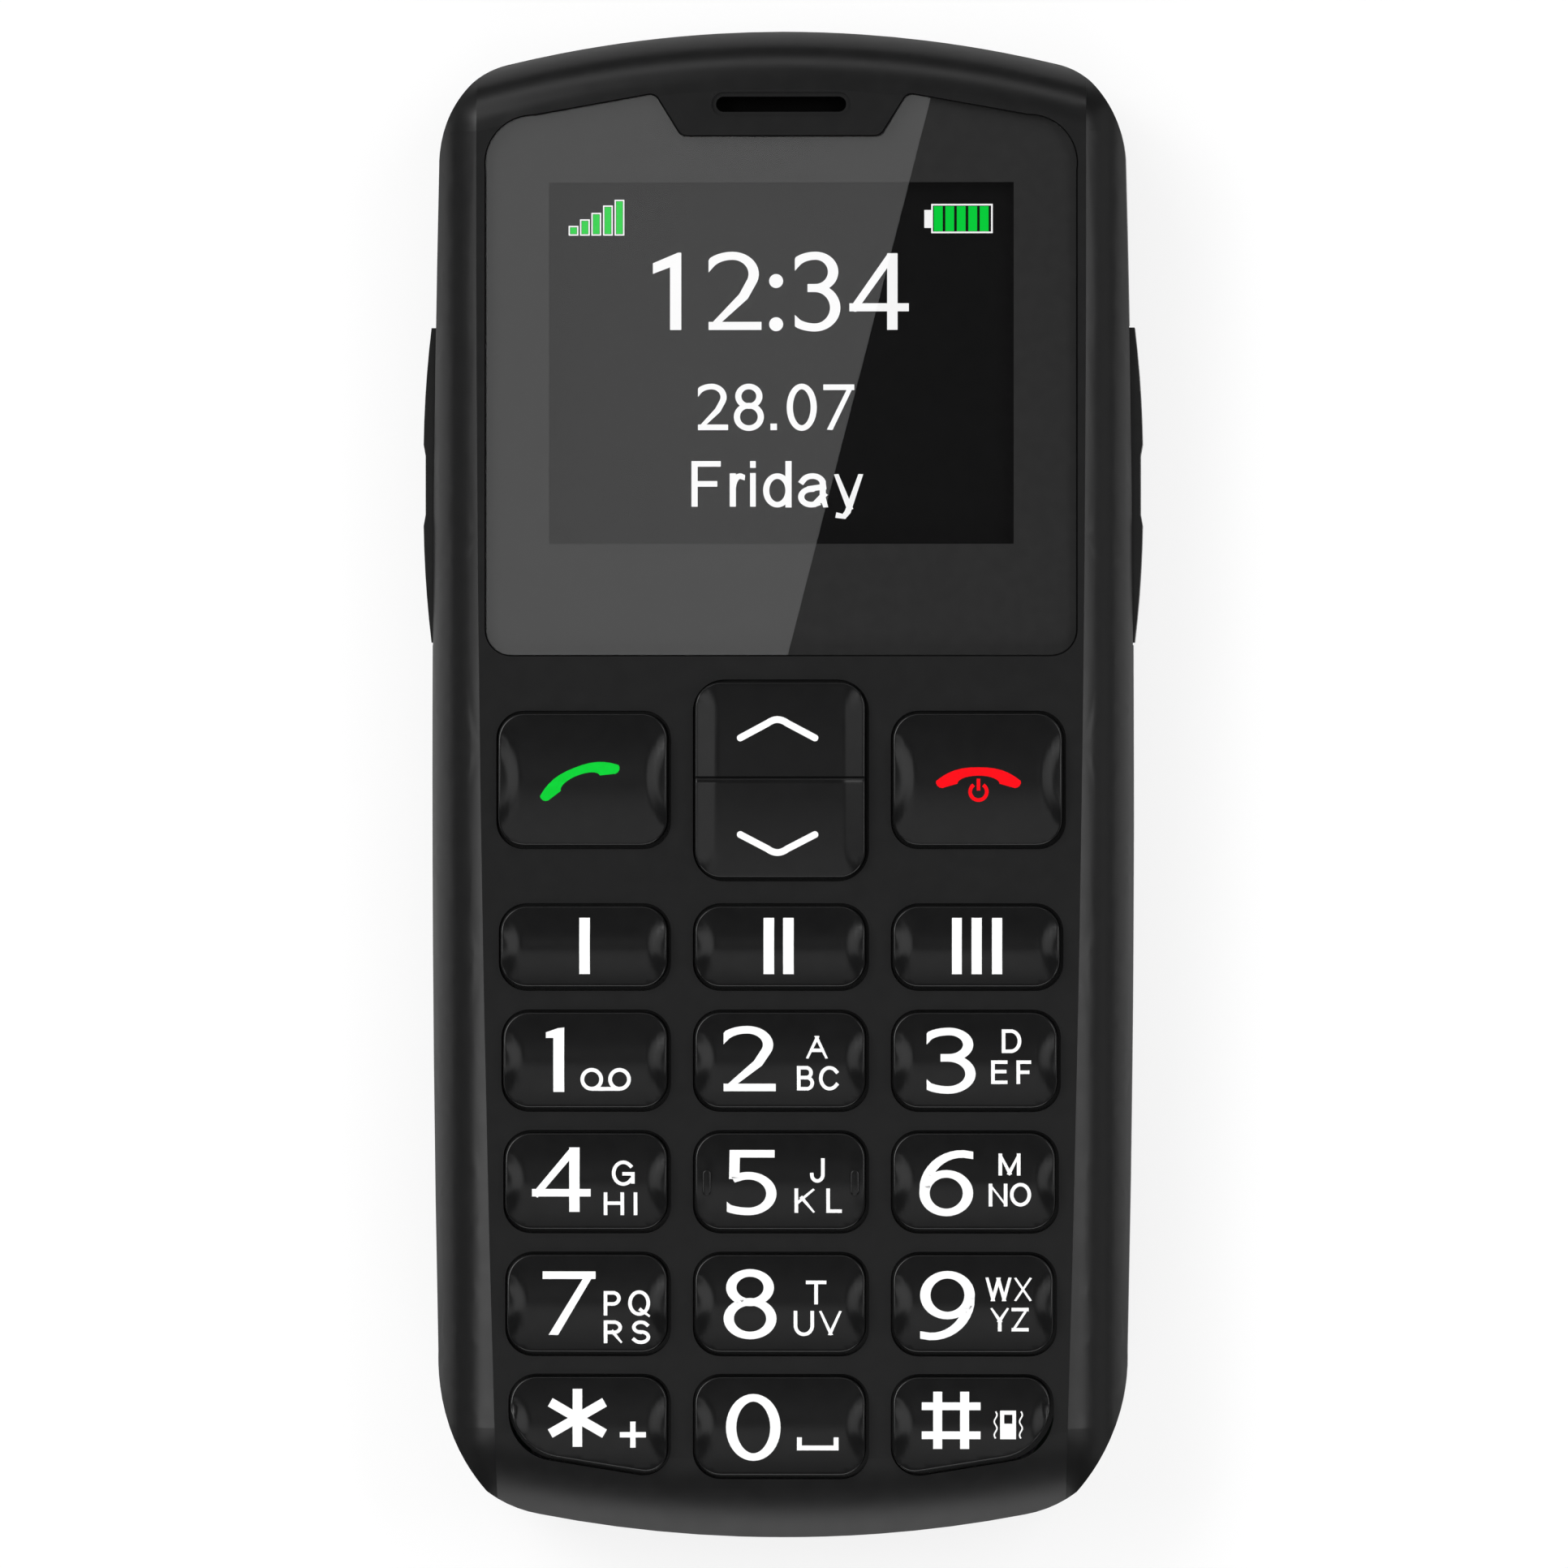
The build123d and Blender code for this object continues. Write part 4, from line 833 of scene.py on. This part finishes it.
class Marks:
    """Flat marks gathered in pixels of the photograph, and made into one thin piece."""

    def __init__(self):
        self.points = []
        self.faces = []
        self.strokes = 0

    def add(self, outline):
        """Add one flat shape."""
        start = len(self.points)
        self.points += [(x, y, self.strokes) for x, y in outline]
        self.faces.append(list(range(start, start + len(outline))))

    def ribbon(self, points, width, limits=None, square=True):
        """Add a stroke along a line, as by an oval pen of a given width and height."""
        half_x, half_y = width[0] / 2, width[1] / 2
        sides = []
        last = len(points) - 1
        closed = math.dist(points[0], points[-1]) < half_y * closing_share
        for index, (x, y) in enumerate(points):
            before = points[index - 1] if index else points[-2 if closed else 0]
            after = points[index + 1] if index < last else points[1 if closed else -1]
            along = Vector((after[0] - before[0], after[1] - before[1])).normalized()
            if square and not closed:
                reach = half_x * abs(along.x) + half_y * abs(along.y)
                reach *= (index == last) - (index == 0)
                x += along.x * reach
                y += along.y * reach
            spread = math.hypot(half_x * along.y, half_y * along.x)
            offset_x, offset_y = half_x**2 * along.y / spread, half_y**2 * along.x / spread
            pair = []
            for side in (1, -1):
                spot = (x - offset_x * side, y + offset_y * side)
                if limits:
                    left, right, top, low = limits
                    spot = (min(max(spot[0], left), right), min(max(spot[1], top), low))
                pair.append(spot)
            sides.append(pair)
        for first, second in zip(sides, sides[1:]):
            self.add([first[0], second[0], second[1], first[1]])
        self.strokes += 1

    def bar(self, left, right, top, low):
        """Add an upright rectangle."""
        self.add([(left, low), (right, low), (right, top), (left, top)])
        self.strokes += 1

    def border(self, left, right, top, low, line):
        """Add the four sides of an upright rectangle."""
        self.bar(left, right, top, top + line)
        self.bar(left, right, low - line, low)
        self.bar(left, left + line, top, low)
        self.bar(right - line, right, top, low)

    def dot(self, x, y, radius):
        """Add a round dot on the level of the next stroke."""
        self.add(circle(x, y, radius)[:-1])

    def glyph(self, letter, box, pen):
        """Add one figure or letter that fills a box."""
        left, right, top, low = box
        for stroke in glyph_shares[letter]:
            if stroke[0] == "shape":
                self.add([(left + x * (right - left), low - y * (low - top)) for x, y in stroke[1:]])
                self.strokes += 1
                continue
            spots = []
            for x, y in stroke_points(stroke):
                spot_x = left + pen[0] / 2 + x * (right - left - pen[0])
                spot_y = low - pen[1] / 2 - y * (low - top - pen[1])
                spots.append((spot_x, spot_y))
            self.ribbon(spots, pen, box)

    def text(self, boxes, pen):
        """Add figures and letters, each with its box."""
        for letter, box in boxes:
            self.glyph(letter, box, pen)

    def make(self, name, finish, body, height):
        """Make the marks a thin mesh that lies on a surface given by its height."""
        mesh = bpy.data.meshes.new(name)
        spots = [(*place(x, y), 0) for x, y, _ in self.points]
        mesh.from_pydata(spots, [], self.faces)
        piece = bpy.data.objects.new(name, mesh)
        bpy.context.collection.objects.link(piece)
        layer = mesh.attributes.new("stroke", "FLOAT", "POINT")
        for index, (_, _, stroke) in enumerate(self.points):
            layer.data[index].value = stroke
        take(piece)
        bpy.ops.object.mode_set(mode="EDIT")
        bpy.ops.mesh.select_all(action="SELECT")
        bpy.ops.mesh.normals_make_consistent(inside=False)
        ends = [spot[1] for spot in spots]
        slice_all(piece, 1, min(ends), max(ends), grid_step)
        bpy.ops.object.mode_set(mode="OBJECT")
        layer = piece.data.attributes["stroke"]
        for index, vertex in enumerate(piece.data.vertices):
            lift = ink_lift + layer.data[index].value * stroke_lift
            vertex.co.z = height(vertex.co.x, vertex.co.y) + lift
        face_up(piece)
        finish_piece(piece, finishes[finish])
        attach(piece, body)


def face_up(piece):
    """Turn the faces of a flat piece upwards where they look down."""
    if all(face.normal.z >= 0 for face in piece.data.polygons):
        return
    bpy.ops.object.mode_set(mode="EDIT")
    pick(piece, lambda face: face.normal.z < 0)
    bpy.ops.mesh.flip_normals()
    bpy.ops.object.mode_set(mode="OBJECT")


# Pens: a stroke's width where it runs upright and where it runs level, in pixels
figure_pen = (12.7, 9.3)
letter_pen = (4.5, 4.3)
clock_pen = (12.8, 9.9)
date_pen = (7.6, 6.9)
mark_pen = (4.7, 4.7)
star_pen = (11.7, 11.7)
wave_pen = (1.8, 1.8)
power_pen = (4.6, 4.6)
chevron_pen = (8.4, 8.4)

# Printed figures and letters: each mark and its box in pixels, as left, right, top and low edge
figure_boxes = {
    "1": (674, 696.5, 1264, 1343),
    "2": (892, 956, 1262, 1342),
    "3": (1141, 1201, 1264, 1345),
    "4": (657, 729, 1411, 1490),
    "5": (896, 957, 1414, 1494),
    "6": (1132, 1198, 1414, 1495),
    "7": (670, 735, 1563, 1641),
    "8": (892, 957, 1560, 1646),
    "9": (1133, 1200, 1562, 1647),
    "0": (895, 962, 1713, 1795),
}
letter_boxes = {
    "A": (993, 1020, 1274, 1302),
    "B": (982, 1003, 1311, 1341),
    "C": (1009, 1035, 1311, 1341),
    "D": (1233, 1257, 1266, 1295),
    "E": (1220, 1240, 1304, 1333),
    "F": (1251, 1269, 1304, 1333),
    "G": (755, 783, 1427, 1458),
    "H": (745, 770, 1466, 1494),
    "I": (780, 788, 1466, 1494),
    "J": (998, 1016, 1424, 1454),
    "K": (979, 1004, 1461, 1491),
    "L": (1018, 1037, 1461, 1491),
    "M": (1229, 1256, 1418, 1445),
    "N": (1217, 1240, 1455, 1483),
    "O": (1243, 1269, 1454, 1483),
    "P": (745, 766, 1587, 1617),
    "Q": (775, 802, 1586, 1619),
    "R": (745, 768, 1623, 1651),
    "S": (779, 802, 1623, 1652),
    "T": (993, 1018, 1574, 1603),
    "U": (978, 1003, 1611, 1642),
    "V": (1009, 1037, 1611, 1641),
    "W": (1213, 1245, 1570, 1599),
    "X": (1248, 1270, 1570, 1599),
    "Y": (1219, 1242, 1607, 1636),
    "Z": (1245, 1266, 1607, 1636),
}
letters_of = dict(zip("23456789", ("ABC", "DEF", "GHI", "JKL", "MNO", "PQRS", "TUV", "WXYZ")))

# The answering machine's sign beside the 1: two rings on a line, in pixels
tape_ring_x = (730.3, 764.4)
tape_ring_y = 1327.5
tape_ring_radius = 11.6
tape_line_y = 1339.2

# The space sign beside the 0, and the bars of the quick keys, in pixels
space_box = (982, 1033, 1766, 1782)
space_line = 6
memory_bars = {
    "key_memory_1": [(715, 728)],
    "key_memory_2": [(941, 954), (965, 978)],
    "key_memory_3": [(1172, 1184), (1196, 1208.5), (1221, 1233.5)],
}
memory_bar_span = (1129.5, 1198.5)
circle_step = 10
least_circle_steps = 8


def circle(x, y, radius, start=0, turn=360):
    """Points round a circle, or a part of it, in pixels."""
    steps = max(least_circle_steps, round(abs(turn) / circle_step))
    turns = [math.radians(start + turn * index / steps) for index in range(steps + 1)]
    return [(x + radius * math.cos(angle), y - radius * math.sin(angle)) for angle in turns]


def print_key(name, marks, ink="ink_white"):
    """Print marks on a key's top."""
    marks.make("print_" + name, ink, name, lambda x, y: key_height(name, x, y))


def add_tape_sign(marks):
    """Add the answering machine's sign."""
    for x in tape_ring_x:
        marks.ribbon(circle(x, tape_ring_y, tape_ring_radius), mark_pen)
    marks.ribbon([(x, tape_line_y) for x in tape_ring_x], mark_pen, square=False)


def add_space_sign(marks):
    """Add the space sign, a trough."""
    left, right, top, low = space_box
    marks.bar(left, right, low - space_line, low)
    marks.bar(left, left + space_line, top, low)
    marks.bar(right - space_line, right, top, low)


def print_figures():
    """The white figures and letters of the number keys, and the bars of the quick keys."""
    for figure, box in figure_boxes.items():
        marks = Marks()
        marks.glyph(figure, box, figure_pen)
        for letter in letters_of.get(figure, ""):
            marks.glyph(letter, letter_boxes[letter], letter_pen)
        if figure == "1":
            add_tape_sign(marks)
        if figure == "0":
            add_space_sign(marks)
        print_key("key_" + figure, marks)
    for name, bars in memory_bars.items():
        marks = Marks()
        for left, right in bars:
            marks.bar(left, right, *memory_bar_span)
        print_key(name, marks)


# The star: its middle, the ends of its upright stroke and the reach of the others, and the plus, in pixels
star_middle = (712.7, 1742.6)
star_span = (1707, 1778)
star_turns = (30, 150)
star_reach = 38.5
plus_bars = ((764.8, 796.8, 1759.8, 1766.4), (777.5, 784.1, 1747, 1779))

# The hash and the shaking phone beside it, in pixels: their bars, and the waves' places and size
hash_bars = (
    (1149, 1160, 1710, 1780),
    (1182, 1193, 1710, 1780),
    (1135, 1207, 1723, 1732.5),
    (1135, 1207, 1758.5, 1768),
)
shaker_bars = (
    (1231, 1236, 1733, 1768),
    (1246, 1250.5, 1733, 1768),
    (1236, 1246, 1733, 1738),
    (1236, 1246, 1749, 1768),
)
wave_x = (1225.5, 1256.5)
wave_top = 1734
wave_length = 33
wave_swing = 1.7
wave_bends = 4
wave_steps = 20


def print_star():
    """The star with a plus."""
    marks = Marks()
    x, y = star_middle
    marks.ribbon([(x, end) for end in star_span], star_pen, square=False)
    for turn in star_turns:
        across = star_reach * math.cos(math.radians(turn))
        rise = star_reach * math.sin(math.radians(turn))
        marks.ribbon([(x - across, y + rise), (x + across, y - rise)], star_pen, square=False)
    for bar in plus_bars:
        marks.bar(*bar)
    print_key("key_star", marks)


def print_hash():
    """The hash with a shaking phone."""
    marks = Marks()
    for bar in hash_bars + shaker_bars:
        marks.bar(*bar)
    for x in wave_x:
        wave = []
        for index in range(wave_steps + 1):
            share = index / wave_steps
            swing = wave_swing * math.sin(share * wave_bends * math.pi)
            wave.append((x + swing, wave_top + wave_length * share))
        marks.ribbon(wave, wave_pen, square=False)
    print_key("key_hash", marks)


# The handset: the half length, droop and bow of its back, and the cup under it, in pixels
handset_half = 51.8
handset_droop = 16.8
handset_bow = 2.6
handset_cup = (25.8, 20.2)
handset_waist = 10.2
handset_steps = 16
handset_foot = [(52.0, 19.5), (50.6, 22.6), (48.0, 24.7), (44.5, 25.5), handset_cup]

# The marks of the call, end and up and down key, in pixels
call_place = (708.9, 945.7)
call_turn = math.radians(21.6)
end_place = (1204.5, 945)
power_ring = (1204.5, 975, 10.2, 125, 290)
power_bar = (1202.3, 1206.7, 959, 973.5)
chevron_ends = (912.5, 1004)
chevron_middle = 958
chevron_arch_steps = 4
chevron_arch_step = 3.0
chevron_arch_fall = 0.28

# The height of each chevron's ends and tip, and which way it opens
chevron_heights = ((909, 886.5, -1), (1027.5, 1049.5, 1))


def handset(x, y, turn):
    """The outline of a small handset, turned about the top of its back."""
    cup, cup_low = handset_cup
    outline = []
    for index in range(handset_steps + 1):
        across = handset_half * math.sin((index / handset_steps - 0.5) * math.pi)
        outline.append((across, handset_droop * abs(across / handset_half) ** handset_bow))
    outline += handset_foot
    for index in range(1, handset_steps):
        angle = math.pi * index / handset_steps
        down = cup_low - (cup_low - handset_waist) * math.sin(angle)
        outline.append((cup * math.cos(angle), down))
    outline += [(-across, down) for across, down in reversed(handset_foot)]
    cosine, sine = math.cos(turn), math.sin(turn)
    turned = [(across * cosine + down * sine, down * cosine - across * sine) for across, down in outline]
    return [(x + across, y + down) for across, down in turned]


def print_call_keys():
    """The green handset, the red handset with its power sign, and the chevrons."""
    marks = Marks()
    marks.add(handset(*call_place, call_turn))
    print_key("key_call", marks, "ink_green")
    marks = Marks()
    marks.add(handset(*end_place, 0))
    marks.strokes += 1
    marks.ribbon(circle(*power_ring), power_pen, square=False)
    marks.bar(*power_bar)
    print_key("key_end", marks, "ink_red")
    marks = Marks()
    left, right = chevron_ends
    for end_y, tip_y, way in chevron_heights:
        line = [(left, end_y)]
        for step in range(-chevron_arch_steps, chevron_arch_steps + 1):
            x = chevron_middle + step * chevron_arch_step
            line.append((x, tip_y - way * chevron_arch_fall * step**2))
        line.append((right, end_y))
        marks.ribbon(line, chevron_pen, square=False)
        for x in chevron_ends:
            marks.dot(x, end_y, chevron_pen[0] / 2)
            marks.strokes += 1
    print_key("key_nav", marks)


# The signal sign in pixels: each bar's left and top edge, and what all bars share
signal_bars = ((700, 280), (714, 272), (728, 264), (742.3, 255), (756.5, 248))
signal_low = 292
signal_width = 12
signal_line = 1.6
signal_margin = 2.1

# The battery sign in pixels: its tip, its case and the left edges of its cells
battery_tip = (1137, 1146, 261, 283)
battery_case = (1145.5, 1221, 253.5, 289.5)
battery_line = 2
battery_cells = (1148.8, 1162.8, 1176.9, 1191, 1205.1)
battery_cell_width = 10.8
battery_cell_span = (256.3, 287)

# The clock, the date and the day: each figure or letter and its box in pixels
clock_boxes = (
    ("thin 1", (803.6, 838.5, 313, 408)),
    ("2", (872, 937, 312, 408)),
    ("3", (978, 1034, 312, 410)),
    ("4", (1045, 1118, 314, 408)),
)
clock_colon = ((955, 348), (955, 401))
clock_dot_radius = 8.6
date_boxes = (
    ("2", (859, 896, 474, 531)),
    ("8", (903, 940, 474, 532)),
    ("0", (968, 1005, 474, 532)),
    ("7", (1013, 1051, 475, 531)),
)
date_point = (948, 956, 523, 531)
day_boxes = (
    ("F", (851, 887, 569, 625)),
    ("r", (898, 917, 584, 625)),
    ("i", (923, 930, 569, 625)),
    ("d", (939, 974, 569, 626)),
    ("a", (982, 1019, 584, 626)),
    ("y", (1026, 1062, 585, 641)),
)
screen_lift = 0.01 * mm


def light_screen():
    """The lit page of the display: signal, battery, clock and date."""
    screen_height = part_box("display_glass")[1].z + screen_lift
    marks = Marks()
    for left, top in signal_bars:
        marks.border(left, left + signal_width, top, signal_low, signal_line)
    marks.bar(*battery_tip)
    marks.border(*battery_case, battery_line)
    marks.text(clock_boxes, clock_pen)
    for x, y in clock_colon:
        marks.dot(x, y, clock_dot_radius)
    marks.text(date_boxes, date_pen)
    marks.bar(*date_point)
    marks.text(day_boxes, date_pen)
    marks.make("screen_white", "glow_white", "housing", lambda x, y: screen_height)
    marks = Marks()
    for left, top in signal_bars:
        right = left + signal_width - signal_margin
        marks.bar(left + signal_margin, right, top + signal_margin, signal_low - signal_margin)
    for left in battery_cells:
        marks.bar(left, left + battery_cell_width, *battery_cell_span)
    marks.make("screen_green", "glow_green", "housing", lambda x, y: screen_height)


# The lens: how far its underside clears the mask, and how near two corners are to be one
lens_clearance = 0.04 * mm
lens_weld = 0.001 * mm


def make_lens():
    """The lens over the display, with its underside just clear of the printed mask."""
    piece = bpy.data.objects.new("lens_cover", nodes["display_lens"].data.copy())
    bpy.context.collection.objects.link(piece)
    take(piece)
    bpy.ops.object.mode_set(mode="EDIT")
    bpy.ops.mesh.select_all(action="SELECT")
    bpy.ops.mesh.remove_doubles(threshold=lens_weld)
    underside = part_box("display_lens")[0].z
    pick(piece, lambda vertex: vertex.co.z < underside + lens_clearance, "VERT")
    bpy.ops.transform.translate(value=(0, 0, lens_clearance))
    bpy.ops.object.mode_set(mode="OBJECT")
    finish_piece(piece, finishes["lens"], lens_smooth_angle)
    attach(piece, "housing")
    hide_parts("display_lens")
    shade_lens(piece)


def shade_lens(piece):
    """Keep every lamp but the card off the lens, so that none blanks the display."""
    shaded = bpy.data.collections.new("lens_shaded")
    shaded.objects.link(piece)
    shaded.collection_objects[0].light_linking.link_state = "EXCLUDE"
    for name in lamps:
        if name != "lamp_card":
            bpy.data.objects[name].light_linking.receiver_collection = shaded


# The two raised marks on the middle key: their places in pixels, their sizes and their rounding
pip_places = {"left": (871.5, 1454), "right": (1053, 1454)}
pip_half_width = 0.34 * mm
pip_half_length = 1.0 * mm
pip_root = 0.3 * mm
pip_rise = 0.17 * mm
pip_round = 0.98 * pip_half_width
pip_round_segments = 8
pip_edge = 0.1 * mm
pip_edge_segments = 4


def make_pips():
    """The two raised marks on the middle key."""
    for side, (x_px, y_px) in pip_places.items():
        x, y = place(x_px, y_px)
        base = key_height("key_5", x, y)
        across = (x - pip_half_width, x + pip_half_width)
        along = (y - pip_half_length, y + pip_half_length)
        piece = start_block("pip_" + side, (across, along, (base - pip_root, base + pip_rise)))
        pick(piece, upright, "EDGE")
        bpy.ops.mesh.bevel(offset=pip_round, segments=pip_round_segments, affect="EDGES")
        pick(piece, is_top)
        bpy.ops.mesh.bevel(offset=pip_edge, segments=pip_edge_segments, affect="EDGES")
        bpy.ops.object.mode_set(mode="OBJECT")
        finish_piece(piece, finishes["key"])
        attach(piece, "key_5")


bpy.context.scene.view_settings.view_transform = "Standard"
make_camera()
for name, values in lamps.items():
    softbox(name, *values)
make_world()
finishes = make_materials()
make_floor()
for name in plans:
    make_key_cap(name)
make_pips()
make_lens()
print_figures()
print_star()
print_hash()
print_call_keys()
light_screen()
